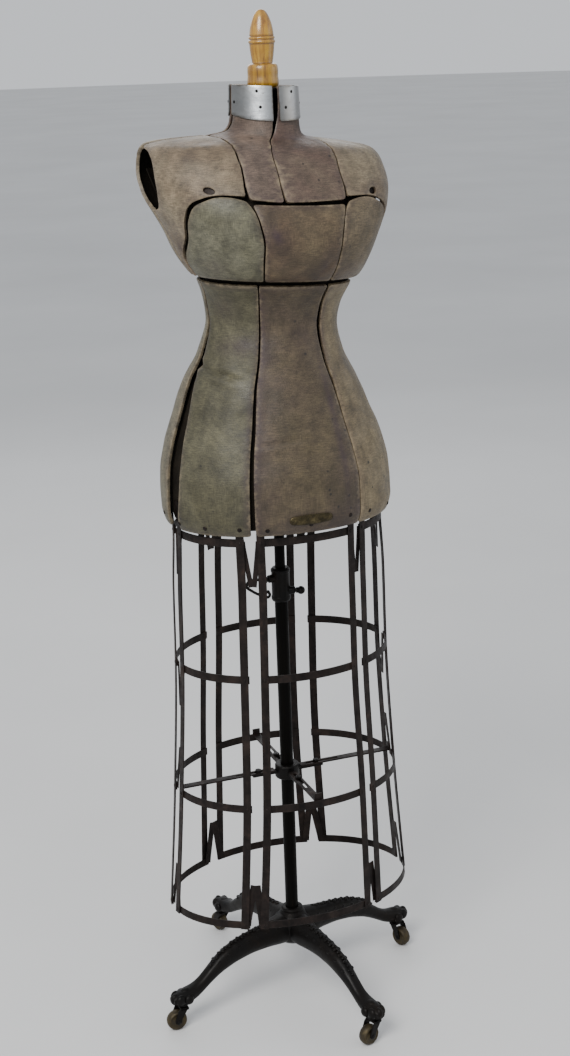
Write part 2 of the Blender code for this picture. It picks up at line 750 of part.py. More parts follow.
def combine(target, shapes, operation):
    """Joins or cuts the target with each shape by an exact Boolean."""
    for shape in shapes:
        name = f"{target.name}_{operation.lower()}_{len(target.modifiers)}"
        step = target.modifiers.new(name, "BOOLEAN")
        step.operation = operation
        step.solver = "EXACT"
        step.object = helper(shape, name, target.location)
    return target


def around(angle, shape):
    """The shape turned about the pole's axis; 0 degrees points to the front."""
    bmesh.ops.rotate(
        shape, cent=(0, 0, 0), matrix=Matrix.Rotation(math.radians(angle), 3, "Z"), verts=shape.verts
    )
    return shape


# ---------------------------------------------------------------- pole, mast and inner frame


def build_pole():
    inner = POLE_RADIUS - POLE_WALL
    turned(
        ((inner, POLE_TOP), (POLE_RADIUS, POLE_TOP), (POLE_RADIUS, 0.092), (inner, 0.092)),
        "pole",
        "tube_steel",
    )
    turned(
        (
            (0.0, MAST_TOP),
            (MAST_RADIUS - 0.001, MAST_TOP),
            (MAST_RADIUS, MAST_TOP - 0.001),
            (MAST_RADIUS, MAST_BOTTOM),
            (0.0, MAST_BOTTOM),
        ),
        "mast",
        "tube_steel",
        steps=20,
    )


def build_height_collar():
    """Clamp collar on the pole's top, with a boss for each of its two screws."""
    bore = POLE_RADIUS + GAP
    collar = turned(
        (
            (MAST_RADIUS + 0.0006, 0.7085),
            (0.0132, 0.7085),
            (0.0146, 0.7055),
            (0.0146, 0.6590),
            (0.0132, 0.6560),
            (bore, 0.6560),
            (bore, POLE_TOP + GAP),
            (MAST_RADIUS + 0.0006, POLE_TOP + GAP),
        ),
        "height_collar",
        "black_iron",
    )
    for direction, height in ((SCREW_WAY, SCREW_Z), (KNOB_WAY, KNOB_Z)):
        way = Vector(direction)
        start = way * BOSS_START + Vector((0, 0, height))
        combine(collar, (cylinder_mesh(0.0062, 0.009, start + way * 0.0045, way, 12),), "UNION")
        combine(collar, (cylinder_mesh(0.0034, 0.016, start + way * 0.004, way, 12),), "DIFFERENCE")


def screw_shank(name, way, at, length):
    shank = cylinder_mesh(0.0030, length, at + way * (SCREW_TIP + length / 2), way, 12)
    return place(shank, name, "black_iron", origin=at + way * 0.020)


def build_screws():
    """A wing screw and a ball-headed screw that clamp the collar."""
    way = Vector(SCREW_WAY)
    at = Vector((0.0, 0.0, SCREW_Z))
    wing = screw_shank("height_screw", way, at, 0.0185)
    hub = cylinder_mesh(0.0058, 0.008, at + way * 0.0285, way, 12)
    across = way.cross(Vector((0, 0, 1))).normalized()
    tilt = (across * 0.35 + Vector((0, 0, 1)) * 0.94).normalized()
    blade = box_mesh((-0.0135, -0.0011, -0.0060), (0.0135, 0.0011, 0.0060))
    axes = Matrix((tilt, tilt.cross(way), way)).transposed().to_4x4()
    turn = Matrix.Translation(at + way * 0.0345) @ axes
    bmesh.ops.transform(blade, matrix=turn, verts=blade.verts)
    combine(wing, (hub, blade), "UNION")

    way = Vector(KNOB_WAY)
    at = Vector((0.0, 0.0, KNOB_Z))
    knob = screw_shank("guide_screw", way, at, 0.0165)
    ball = bmesh.new()
    centre = Matrix.Translation(at + way * 0.0305)
    bmesh.ops.create_uvsphere(ball, u_segments=12, v_segments=8, radius=0.0062, matrix=centre)
    combine(knob, (ball,), "UNION")


def cross(name, height, hub_radius, arms, bar_width, bar_height):
    """Star of flat arms round the mast; arms holds (angle, reach)."""
    bore = MAST_RADIUS + 0.0006
    low, high = height - bar_height * 1.6, height + bar_height * 1.6
    hub = turned(
        ((bore, high), (hub_radius, high), (hub_radius, low), (bore, low)), name, "black_iron", steps=20
    )
    bars = []
    for angle, reach in arms:
        half = bar_width / 2
        bar = box_mesh(
            (-half, -reach, height - bar_height / 2), (half, -(hub_radius - 0.003), height + bar_height / 2)
        )
        bars.append(around(angle, bar))
    return combine(hub, bars, "UNION")


def inner_reach(angle, level):
    """Distance from the axis to just inside the shell."""
    point = raised(TORSO, angle, level, -(SHELL + 0.016))
    return math.hypot(point.x, point.y)


def towards(angle, level):
    """The direction, in degrees, in which the surface point at this angle lies."""
    point = skin(TORSO, angle, level)
    return math.degrees(math.atan2(point.x, -point.y))


def build_inner_frame():
    arms = [(towards(a, 1.255), inner_reach(a, 1.255)) for a in (-50.0, 50.0, 130.0, -130.0)]
    cross("shoulder_cross", 1.255, 0.016, arms, 0.016, 0.003)
    arms = [(towards(a, 1.195), inner_reach(a, 1.195)) for a in (-42.0, 0.0, 42.0)]
    cross("bust_cross", 1.195, 0.016, arms, 0.014, 0.003)
    arms = [(towards(a, 1.090), inner_reach(a, 1.090)) for a in (0.0, 60.0, 120.0, 180.0, -120.0, -60.0)]
    cross("waist_cross", 1.090, 0.016, arms, 0.014, 0.003)
    turned(
        (
            (0.0048, NECK_PLATE_TOP),
            (NECK_PLATE_RADIUS, NECK_PLATE_TOP),
            (NECK_PLATE_RADIUS, NECK_PLATE_TOP - 0.003),
            (0.0140, NECK_PLATE_TOP - 0.003),
            (0.0140, 1.3670),
            (MAST_RADIUS + 0.0006, 1.3670),
            (MAST_RADIUS + 0.0006, MAST_TOP + 0.0010),
            (0.0048, MAST_TOP + 0.0010),
        ),
        "neck_plate",
        "black_iron",
        steps=24,
    )


def build_finial():
    """Turned wooden finial with a stud that enters the neck plate."""
    foot = NECK_PLATE_TOP + GAP
    turned(
        (
            (0.0, foot + 0.1040),
            (0.0045, foot + 0.1025),
            (0.0085, foot + 0.0980),
            (0.0125, foot + 0.0900),
            (0.0158, foot + 0.0800),
            (0.0172, foot + 0.0675),
            (0.0186, foot + 0.0660),
            (0.0186, foot + 0.0595),
            (0.0178, foot + 0.0570),
            (0.0160, foot + 0.0440),
            (0.0147, foot + 0.0350),
            (0.0200, foot + 0.0300),
            (0.0213, foot + 0.0265),
            (0.0213, foot),
            (0.0042, foot),
            (0.0042, foot - 0.0150),
            (0.0, foot - 0.0150),
        ),
        "finial",
        "turned_wood",
        steps=18,
    )


# ---------------------------------------------------------------- spider that guides the skirt on the pole


def arm_reach(angle):
    point = cage_point(angle, LOWER_HOOP_Z)
    return math.hypot(point.x, point.y) - STRAP_WALL - 0.0035


def build_spider():
    bore = POLE_RADIUS + GAP
    stub_low = SPIDER_TOP - 0.0034
    hub = turned(
        (
            (bore, SPIDER_TOP + 0.009),
            (0.0175, SPIDER_TOP + 0.009),
            (0.0190, SPIDER_TOP + 0.007),
            (0.0190, SPIDER_TOP - 0.011),
            (0.0175, SPIDER_TOP - 0.013),
            (bore, SPIDER_TOP - 0.013),
        ),
        "spider_hub",
        "black_iron",
    )
    shapes = []
    for angle in (0.0, 90.0, 180.0, 270.0):
        stub = box_mesh((-0.006, -0.058, stub_low), (0.006, -0.016, SPIDER_TOP - 0.0002))
        bolt = cylinder_mesh(0.0018, 0.0095, (0.0, -0.048, SPIDER_TOP + 0.0020), sides=10)
        head = cylinder_mesh(0.0048, 0.0034, (0.0, -0.048, SPIDER_TOP + ARM_WALL + 0.0022), sides=6)
        shapes += [around(angle, shape) for shape in (stub, bolt, head)]
    combine(hub, shapes, "UNION")
    for name, angle in (("front", 0.0), ("left", 90.0), ("back", 180.0), ("right", 270.0)):
        reach = arm_reach(angle)
        base = SPIDER_TOP + 0.0002
        bent = (
            (-0.0215, base),
            (-reach, base),
            (-reach, base + 0.0115),
            (-reach + ARM_WALL, base + 0.0115),
            (-reach + ARM_WALL, base + ARM_WALL),
            (-0.0215, base + ARM_WALL),
        )
        bar = prism(bent, -ARM_WIDTH / 2, ARM_WIDTH / 2)
        arm = place(around(angle, bar), f"spider_arm_{name}", "strap_iron", smooth=False)
        slot = box_mesh((-ARM_SLOT / 2, -0.085, base - 0.002), (ARM_SLOT / 2, -0.030, base + 0.006))
        combine(arm, (around(angle, slot),), "DIFFERENCE")


# ---------------------------------------------------------------- cast base and casters


def leg_mesh(angle):
    """Cabriole leg: rounded sections lofted from hub to foot."""
    shape = bmesh.new()
    rings = []
    for distance, height, half_width, half_height in LEG:
        ring = []
        for k in range(LEG_SIDES):
            turn = 2 * math.pi * (k + 0.5) / LEG_SIDES
            x = half_width * math.copysign(abs(math.cos(turn)) ** 0.8, math.cos(turn))
            z = height + half_height * math.copysign(abs(math.sin(turn)) ** 0.8, math.sin(turn))
            ring.append(shape.verts.new((x, -distance, z)))
        rings.append(ring)
    for ring, after in zip(rings, rings[1:]):
        for k in range(LEG_SIDES):
            nxt = (k + 1) % LEG_SIDES
            shape.faces.new((ring[k], ring[nxt], after[nxt], after[k]))
    shape.faces.new(rings[0])
    shape.faces.new(rings[-1][::-1])
    bmesh.ops.recalc_face_normals(shape, faces=shape.faces)
    return around(angle, shape)


def build_base():
    """One iron casting: a hub with four legs, bored for the pole and for the casters' stems."""
    base = turned(
        (
            (0.0, 0.1400),
            (0.0150, 0.1400),
            (0.0185, 0.1370),
            (0.0200, 0.1310),
            (0.0215, 0.1270),
            (0.0270, 0.1230),
            (0.0300, 0.1150),
            (0.0300, 0.1000),
            (0.0260, 0.0880),
            (0.0200, 0.0820),
            (0.0, 0.0820),
        ),
        "base",
        "black_iron",
    )
    legs = []
    holes = []
    for k in range(4):
        angle = LEG_TURN + 90.0 * k
        legs.append(leg_mesh(angle))
        pad = cylinder_mesh(0.0095, 0.016, (0.0, -FOOT_RADIUS, FOOT_Z + 0.008), sides=16)
        legs.append(around(angle, pad))
        bore = cylinder_mesh(0.0038, 0.020, (0.0, -FOOT_RADIUS, FOOT_Z + 0.008), sides=12)
        holes.append(around(angle, bore))
    combine(base, legs, "UNION")
    combine(base, [cylinder_mesh(POLE_RADIUS + GAP, 0.060, (0.0, 0.0, 0.1216), sides=24)], "DIFFERENCE")
    combine(base, holes, "DIFFERENCE")


def foot_place(k):
    turn = math.radians(LEG_TURN + 90.0 * k)
    return Vector((FOOT_RADIUS * math.sin(turn), -FOOT_RADIUS * math.cos(turn), 0.0))


def build_casters():
    for k in range(4):
        foot = foot_place(k)
        heading = TRAIL_HEADINGS[k]
        number = k + 1
        stem = cylinder_mesh(0.0034, 0.0230, foot + Vector((0.0, 0.0, FOOT_Z + 0.0015)), sides=12)
        fork = place(stem, f"caster_fork_{number}", "black_iron", origin=foot)
        shapes = fork_shapes()
        for shape in shapes:
            around(heading, shape)
            bmesh.ops.translate(shape, vec=foot, verts=shape.verts)
        combine(fork, shapes, "UNION")
        build_wheel(number, foot, heading)


def fork_shapes():
    """Crown, two cheeks and axle of a fork that trails towards -Y from its stem at the origin."""
    half = WHEEL_WIDTH / 2 + 0.0008
    crown = box_mesh((-half - 0.0022, -0.0070, FOOT_Z - 0.0062), (half + 0.0022, 0.0070, FOOT_Z - 0.0012))
    cheeks = [cheek_mesh(side * (half + 0.0011)) for side in (-1.0, 1.0)]
    axle = cylinder_mesh(AXLE_RADIUS, 2 * half + 0.0070, (0.0, -WHEEL_TRAIL, WHEEL_RADIUS), (1, 0, 0), 12)
    return [crown, *cheeks, axle]


def cheek_mesh(x):
    """One side of the fork, slanting from the crown out to the axle."""
    outline = (
        (0.0070, FOOT_Z - 0.0020),
        (-0.0070, FOOT_Z - 0.0020),
        (-WHEEL_TRAIL - 0.0055, WHEEL_RADIUS + 0.0015),
        (-WHEEL_TRAIL - 0.0035, WHEEL_RADIUS - 0.0050),
        (-WHEEL_TRAIL + 0.0035, WHEEL_RADIUS - 0.0050),
        (-WHEEL_TRAIL + 0.0060, WHEEL_RADIUS + 0.0015),
    )
    return prism(outline, x - 0.0011, x + 0.0011)


def build_wheel(number, foot, heading):
    """Barrel wheel, turned about X and then set to its heading."""
    half = WHEEL_WIDTH / 2
    bore = AXLE_RADIUS + 0.0004
    wheel = turned(
        (
            (bore, half),
            (0.0060, half),
            (0.0135, half - 0.0006),
            (WHEEL_RADIUS - 0.0008, half - 0.0030),
            (WHEEL_RADIUS, 0.0015),
            (WHEEL_RADIUS, -0.0015),
            (WHEEL_RADIUS - 0.0008, -half + 0.0030),
            (0.0135, -half + 0.0006),
            (0.0060, -half),
            (bore, -half),
        ),
        f"caster_wheel_{number}",
        "caster_brass",
        steps=16,
    )
    turn = Matrix.Rotation(math.radians(heading), 4, "Z")
    centre = foot + turn @ Vector((0.0, -WHEEL_TRAIL, WHEEL_RADIUS))
    wheel.matrix_world = Matrix.Translation(centre) @ turn @ Matrix.Rotation(math.radians(90.0), 4, "Y")


clear_scene()
PARTS = collection("dress_form")
CUTTERS = collection("cutters", helper=True)
build_torso()
build_collar()
build_name_plate()
build_frames()
build_hoops()
build_links()
build_pole()
build_height_collar()
build_screws()
build_inner_frame()
build_finial()
build_spider()
build_base()
build_casters()
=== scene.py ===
"""Looks of the adjustable dress form: fine shells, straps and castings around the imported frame.

Metres, +Z up; the torso faces -Y. An angle is in degrees from the front, positive towards +X.
"""

import json
import math

import bmesh
import bpy
import numpy as np
from mathutils import Matrix, Vector, noise
from mathutils.geometry import delaunay_2d_cdt


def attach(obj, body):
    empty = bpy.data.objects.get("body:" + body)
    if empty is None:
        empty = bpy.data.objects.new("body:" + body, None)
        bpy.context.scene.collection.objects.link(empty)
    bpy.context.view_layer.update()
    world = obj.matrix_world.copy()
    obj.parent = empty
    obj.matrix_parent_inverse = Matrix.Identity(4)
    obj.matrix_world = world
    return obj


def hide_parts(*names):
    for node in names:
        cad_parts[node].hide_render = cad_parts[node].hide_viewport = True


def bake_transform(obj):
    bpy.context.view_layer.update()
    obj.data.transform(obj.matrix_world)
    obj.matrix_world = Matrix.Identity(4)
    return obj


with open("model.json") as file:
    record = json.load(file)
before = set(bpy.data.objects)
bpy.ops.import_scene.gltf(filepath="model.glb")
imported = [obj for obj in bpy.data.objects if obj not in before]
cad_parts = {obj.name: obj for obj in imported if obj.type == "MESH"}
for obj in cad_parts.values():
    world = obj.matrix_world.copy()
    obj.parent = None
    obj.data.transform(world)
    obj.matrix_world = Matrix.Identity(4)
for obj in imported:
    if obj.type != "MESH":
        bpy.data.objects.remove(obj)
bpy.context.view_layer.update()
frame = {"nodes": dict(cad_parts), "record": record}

UP = Vector((0.0, 0.0, 1.0))

# Torso sections, hip hem to neck top:
# level, height, half width, front y, back y, y of the widest point, squareness
TORSO_SECTIONS = (
    (0.790, 0.790, 0.1660, -0.128, 0.116, 0.004, 2.10),
    (0.820, 0.820, 0.1735, -0.137, 0.123, 0.006, 2.10),
    (0.865, 0.865, 0.1720, -0.136, 0.127, 0.010, 2.10),
    (0.910, 0.910, 0.1635, -0.127, 0.124, 0.015, 2.05),
    (0.950, 0.950, 0.1490, -0.116, 0.117, 0.018, 2.00),
    (1.000, 1.000, 0.1290, -0.101, 0.104, 0.018, 2.00),
    (1.040, 1.040, 0.1075, -0.090, 0.092, 0.012, 2.00),
    (1.085, 1.085, 0.0965, -0.082, 0.080, 0.000, 2.00),
    (1.110, 1.110, 0.1000, -0.087, 0.080, -0.005, 2.00),
    (1.143, 1.143, 0.1120, -0.105, 0.085, -0.018, 2.05),
    (1.151, 1.151, 0.1200, -0.116, 0.088, -0.018, 2.10),
    (1.180, 1.180, 0.1380, -0.137, 0.096, -0.008, 2.20),
    (1.210, 1.210, 0.1500, -0.147, 0.104, 0.000, 2.35),
    (1.235, 1.235, 0.1620, -0.143, 0.110, 0.008, 2.50),
    (1.262, 1.262, 0.1740, -0.130, 0.116, 0.024, 2.70),
    (1.285, 1.285, 0.1775, -0.115, 0.118, 0.033, 2.85),
    (1.315, 1.312, 0.1730, -0.096, 0.115, 0.038, 2.85),
    (1.340, 1.328, 0.1630, -0.080, 0.108, 0.040, 2.60),
    (1.370, 1.334, 0.1400, -0.070, 0.096, 0.040, 2.20),
    (1.405, 1.338, 0.1080, -0.062, 0.082, 0.038, 2.00),
    (1.440, 1.342, 0.0700, -0.056, 0.067, 0.034, 2.00),
    (1.458, 1.348, 0.0545, -0.052, 0.056, 0.014, 2.00),
    (1.472, 1.359, 0.0495, -0.049, 0.050, 0.003, 2.00),
    (1.486, 1.373, 0.0480, -0.0475, 0.048, 0.000, 2.00),
    (1.524, 1.411, 0.0465, -0.0460, 0.046, 0.000, 2.00),
)
SKIRT_SECTIONS = (
    (0.160, 0.160, 0.1960, -0.1290, 0.1435, 0.007, 2.00),
    (0.375, 0.375, 0.1785, -0.1355, 0.1470, 0.006, 2.00),
    (0.577, 0.577, 0.1675, -0.1255, 0.1330, 0.004, 2.00),
    (0.700, 0.700, 0.1650, -0.1250, 0.1250, 0.003, 2.00),
    (0.795, 0.795, 0.1605, -0.1220, 0.1100, 0.004, 2.10),
    (0.860, 0.860, 0.1640, -0.1280, 0.1190, 0.008, 2.10),
)
# The torso hangs slightly askew: height lost per metre towards +X, and where that starts and is whole
LEAN = 0.060
LEAN_START = 0.83
LEAN_FULL = 1.13

SHELL = 0.0048
ANGLE_SCALE = 0.13  # metres of arc per radian, used to space points on a patch
PANEL_STEP = 0.0050
EDGE_STEP = 0.0026

HIP_BOTTOM = 0.797
HIP_TOP = 1.143
BUST_BOTTOM = 1.151
FRONT_SEAM = 27.5
SIDE_SEAM = 90.0
BACK_SEAM = 152.5
SEAM_LEVELS = (HIP_BOTTOM, 0.880, 0.950, 1.020, 1.085, HIP_TOP)
# Gap width along each hip seam at SEAM_LEVELS
HIP_SEAMS = {
    -BACK_SEAM: (0.005, 0.006, 0.006, 0.006, 0.004, 0.002),
    -SIDE_SEAM: (0.027, 0.034, 0.026, 0.016, 0.007, 0.003),
    -FRONT_SEAM: (0.007, 0.006, 0.005, 0.003, 0.002, 0.0015),
    FRONT_SEAM: (0.0015, 0.0015, 0.002, 0.005, 0.007, 0.004),
    SIDE_SEAM: (0.005, 0.007, 0.009, 0.010, 0.007, 0.003),
    BACK_SEAM: (0.005, 0.006, 0.006, 0.006, 0.004, 0.002),
}
# The gap under the -X arm is sprung open, and its middle strays this many degrees to the front
SPRUNG_SEAM = -SIDE_SEAM
SPRUNG_DRIFT = (9.0, 12.0, 12.0, 8.0, 2.0, 0.0)
HIP_PANELS = {
    "front": (-FRONT_SEAM, FRONT_SEAM),
    "front_left": (FRONT_SEAM, SIDE_SEAM),
    "back_left": (SIDE_SEAM, BACK_SEAM),
    "back": (BACK_SEAM, 360.0 - BACK_SEAM),
    "back_right": (-BACK_SEAM, -SIDE_SEAM),
    "front_right": (-SIDE_SEAM, -FRONT_SEAM),
}

YOKE_X = 0.0715
YOKE_GAP = 0.0024
YOKE_FOOT = 1.2610
RIDGE_LEVEL = 1.4385
YOKE_LEVELS = (1.290, 1.320, 1.350, 1.380, 1.405, 1.425)
# Centre seam of the front neck panels, which bends towards -X: level, x, half gap
NECK_SEAM = (
    (1.524, 0.000, 0.0040),
    (1.486, -0.001, 0.0037),
    (1.470, -0.004, 0.0022),
    (1.450, -0.009, 0.0012),
    (1.405, -0.015, 0.0009),
    (1.350, -0.019, 0.0008),
    (1.310, -0.022, 0.0008),
    (1.285, -0.022, 0.0010),
    (YOKE_FOOT, -0.021, 0.0020),
)
# The seam under the arm, and half its gap, in degrees
UNDERARM = 92.0
UNDERARM_GAP = 0.9
# Ovals: centre angle, centre level, half angle and half level
ARMHOLE = (UNDERARM, 1.285, 18.0, 0.046)
SLOT = (35.5, 1.2745, 3.4, 0.0046)
# Name plate: angle of its round ends, level, and the ends' half angle and half level
PLATE = (7.6, 0.819, 2.4, 0.006)
NECK_TOP = 1.524
COLLAR_FRONT = 1.477
COLLAR_SIDE = 1.484

STRAP = 0.012
STRAP_WALL = 0.0018
HEM_Z = 0.182
LOWER_HOOP_Z = 0.375
MIDDLE_HOOP_Z = 0.577
TOP_HOOP_Z = 0.785
UPRIGHT_TOP = 0.835
UPRIGHT_OFFSET = 0.0165
# The V springs reach 8 mm further than the CAD links, as in the photograph
SPRING_DEPTH = 0.058 + 0.008
SPRING_WALL = 0.0014
LINK_STRAP = 0.0085

# ---- surfaces


def cubic(t, start, leave, end, reach, span=1.0):
    """The cubic from start to end; leave and reach are its slopes at the two ends."""
    value = (2 * t**3 - 3 * t**2 + 1) * start + (t**3 - 2 * t**2 + t) * span * leave
    return value + (3 * t**2 - 2 * t**3) * end + (t**3 - t**2) * span * reach


class Skin:
    """A surface whose horizontal sections are superellipses with unlike fronts and backs."""

    def __init__(self, sections):
        rows = np.array(sections)
        self.level = rows[:, 0]
        self.value = rows[:, 1:]
        secant = np.diff(self.value, axis=0) / np.diff(self.level)[:, None]
        before, after = secant[:-1], secant[1:]
        same = before * after > 0
        total = np.where(same, before + after, 1.0)
        middle = np.where(same, 2 * before * after / total, 0.0)
        self.slope = np.vstack([secant[:1], middle, secant[-1:]])

    def row(self, level):
        """Height, half width, front, back, middle and squareness at each level."""
        level = np.clip(np.asarray(level, float), self.level[0], self.level[-1])
        low = np.clip(np.searchsorted(self.level, level, side="right") - 1, 0, len(self.level) - 2)
        span = (self.level[low + 1] - self.level[low])[..., None]
        t = (level - self.level[low])[..., None] / span
        ends = self.value[low], self.slope[low], self.value[low + 1], self.slope[low + 1]
        return cubic(t, *ends, span)

    def point(self, angle, level):
        angle, level = np.broadcast_arrays(np.asarray(angle, float), np.asarray(level, float))
        height, half_width, front, back, middle, square = np.moveaxis(self.row(level), -1, 0)
        s, c = np.sin(np.radians(angle)), np.cos(np.radians(angle))
        depth = np.where(c > 0, middle - front, back - middle)
        x = half_width * np.sign(s) * np.abs(s) ** (2 / square)
        y = middle - depth * np.sign(c) * np.abs(c) ** (2 / square)
        rise = np.clip((height - LEAN_START) / (LEAN_FULL - LEAN_START), 0.0, 1.0)
        return np.stack([x, y, height - LEAN * x * rise * rise * (3 - 2 * rise)], -1)

    def normal(self, angle, level):
        across = self.point(angle + 0.5, level) - self.point(angle - 0.5, level)
        upward = self.point(angle, level + 0.001) - self.point(angle, level - 0.001)
        found = np.cross(across, upward)
        return found / np.linalg.norm(found, axis=-1, keepdims=True)

    def raised(self, angle, level, height):
        angle, level = np.asarray(angle, float), np.asarray(level, float)
        return self.point(angle, level) + self.normal(angle, level) * np.asarray(height)[..., None]

    def degrees_of(self, angle, level, distance):
        """Degrees that cover a horizontal distance along the surface."""
        step = np.linalg.norm(self.point(angle + 0.5, level) - self.point(angle - 0.5, level), axis=-1)
        return float(distance / step)


TORSO = Skin(TORSO_SECTIONS)
SKIRT = Skin(SKIRT_SECTIONS)


def angle_at_x(level, x, behind=False):
    _, half_width, _, _, _, square = TORSO.row(level)
    found = math.degrees(math.asin(min(1.0, (abs(x) / half_width) ** (square / 2))))
    found = math.copysign(found, x)
    return 180.0 - found if behind else found


def oval(centre_angle, centre_level, half_angle, half_level, count, start=0.0, sweep=360.0):
    """Points on an oval; 0 degrees is its +angle end and 90 degrees its top."""
    made = []
    closed = abs(sweep) >= 360.0
    for k in range(count):
        turn = math.radians(start + sweep * k / (count if closed else count - 1))
        x = centre_angle + half_angle * math.cos(turn)
        made.append((x, centre_level + half_level * math.sin(turn)))
    return made


# ---- panel outlines


def yoke_seam(offset, behind):
    return [(angle_at_x(level, YOKE_X + offset, behind), level) for level in YOKE_LEVELS]


def neck_centre_edge(behind, bend):
    edge = []
    for level, x, half_gap in NECK_SEAM:
        offset = 0.0 if behind else bend * x
        edge.append((angle_at_x(level, offset + half_gap, behind), level))
    return edge


def neck_outline(behind, bend=1.0):
    """Neck panel on the +X side; bend 1 or -1 says which way its centre seam strays."""
    mirror = 180.0 if behind else 0.0
    sign = -1.0 if behind else 1.0
    low = YOKE_FOOT + 0.004
    corner = (angle_at_x(low, YOKE_X - YOKE_GAP, behind), low)
    side = [(88.0, RIDGE_LEVEL), (86.8, 1.455), (85.4, 1.472), (84.0, NECK_TOP)]
    side = [(mirror + sign * angle, level) for angle, level in side]
    return neck_centre_edge(behind, bend) + [corner] + yoke_seam(-YOKE_GAP / 2, behind) + side


def armhole_edge(behind):
    if behind:
        return oval(*ARMHOLE, 9, start=84.0, sweep=-170.0)
    return oval(*ARMHOLE, 9, start=96.0, sweep=170.0)


def shoulder_front_outline():
    bust_gap = [(85.0, BUST_BOTTOM), (86.6, 1.161), (85.0, 1.174), (80.6, 1.187), (73.0, 1.204)]
    bust_gap += [(63.2, 1.2340), (52.0, 1.2550)]
    bust_top = [(42.0, 1.2640), (33.0, 1.2690), (25.0, 1.2695)]
    corner = [(angle_at_x(1.2690, YOKE_X + YOKE_GAP), 1.2690)]
    ridge = [(88.5, RIDGE_LEVEL - 0.003), (88.5, 1.400), (88.5, 1.360)]
    front = UNDERARM - UNDERARM_GAP
    side = [(front, 1.230), (front, 1.190), (front, BUST_BOTTOM)]
    return bust_gap + bust_top + corner + yoke_seam(YOKE_GAP / 2, False) + ridge + armhole_edge(False) + side


def shoulder_back_outline():
    back = UNDERARM + UNDERARM_GAP
    bottom = [(back, BUST_BOTTOM), (178.4, BUST_BOTTOM)]
    yoke_foot = [(178.6, 1.2550), (angle_at_x(1.2600, YOKE_X + YOKE_GAP, True), 1.2590)]
    ridge = [(91.5, RIDGE_LEVEL - 0.003), (91.5, 1.400), (91.5, 1.360)]
    side = [(back, 1.230), (back, 1.190)]
    return bottom + yoke_foot + yoke_seam(YOKE_GAP / 2, True) + ridge + armhole_edge(True) + side


def bust_cup_outline():
    inner = [(23.0, BUST_BOTTOM), (21.8, 1.175), (19.8, 1.200), (18.2, 1.225), (17.2, 1.252)]
    top = [(18.4, 1.2630), (25.0, 1.2672), (33.0, 1.2668), (41.0, 1.2612)]
    outer = [(50.4, 1.2520), (61.0, 1.2318), (71.0, 1.2000), (78.6, 1.1822), (82.6, 1.1715)]
    return inner + top + outer + [(83.8, 1.160), (82.0, BUST_BOTTOM)]


def bust_centre_outline():
    edge = [(22.2, BUST_BOTTOM), (21.0, 1.175), (19.0, 1.200), (17.4, 1.225), (16.3, 1.2588)]
    return edge + [(0.0, 1.2575)] + mirrored(edge[::-1])


def hip_outline(left_seam, right_seam):
    """Hip panel between two seams, each edge drawn back by half its gap."""
    left = []
    right = []
    for level in SEAM_LEVELS:
        for seam, side, edge in ((left_seam, 1.0, left), (right_seam, -1.0, right)):
            widths = HIP_SEAMS[seam if seam <= 180.0 else seam - 360.0]
            half_gap = np.interp(level, SEAM_LEVELS, widths) / 2
            drift = np.interp(level, SEAM_LEVELS, SPRUNG_DRIFT) if seam == SPRUNG_SEAM else 0.0
            middle = seam + drift
            edge.append((middle + side * TORSO.degrees_of(middle, level, half_gap), level))
    return right + left[::-1]


def mirrored(outline):
    return [(-angle, level) for angle, level in outline]


# ---- patches


def flat(points):
    points = np.asarray(points, float)
    return np.stack([np.radians(points[:, 0]) * ANGLE_SCALE, points[:, 1]], -1)


def unflat(points):
    return np.degrees(points[:, 0] / ANGLE_SCALE), points[:, 1]


def smooth_loop(outline, spacing, sharp=38.0, easing=2):
    """Closed curve through the outline's points, broken at sharp turns and then eased."""
    points = flat(outline)
    ahead = np.roll(points, -1, 0) - points
    ahead_way = ahead / np.linalg.norm(ahead, axis=1, keepdims=True)
    behind_way = np.roll(ahead_way, 1, 0)
    corner = np.sum(ahead_way * behind_way, axis=1) < math.cos(math.radians(sharp))
    way = ahead_way + behind_way
    way /= np.linalg.norm(way, axis=1, keepdims=True)
    made = []
    for k, start in enumerate(points):
        after = (k + 1) % len(points)
        end = points[after]
        length = np.linalg.norm(end - start)
        leave = ahead[k] if corner[k] else way[k] * length
        reach = ahead[k] if corner[after] else way[after] * length
        count = max(1, math.ceil(length / spacing))
        t = (np.arange(count) / count)[:, None]
        made.append(cubic(t, start, leave, end, reach))
    loop = np.vstack(made)
    for _ in range(easing):
        loop = (np.roll(loop, 1, 0) + 2 * loop + np.roll(loop, -1, 0)) / 4
    return loop


def inside(points, loop):
    before = np.roll(loop, 1, 0)
    x, y = points[:, :1], points[:, 1:]
    crosses = (loop[:, 1] > y) != (before[:, 1] > y)
    rise = np.where(before[:, 1] == loop[:, 1], 1.0, before[:, 1] - loop[:, 1])
    at = (before[:, 0] - loop[:, 0]) * (y - loop[:, 1]) / rise + loop[:, 0]
    return np.sum(crosses & (x < at), axis=1) % 2 == 1


def distance_to(points, loop):
    """Distance from each point to a closed loop."""
    edge = np.roll(loop, 1, 0) - loop
    away = points[:, None, :] - loop[None]
    t = np.clip(np.sum(away * edge, -1) / np.maximum(np.sum(edge * edge, -1), 1e-12), 0.0, 1.0)
    return np.min(np.linalg.norm(away - edge * t[..., None], axis=-1), axis=1)


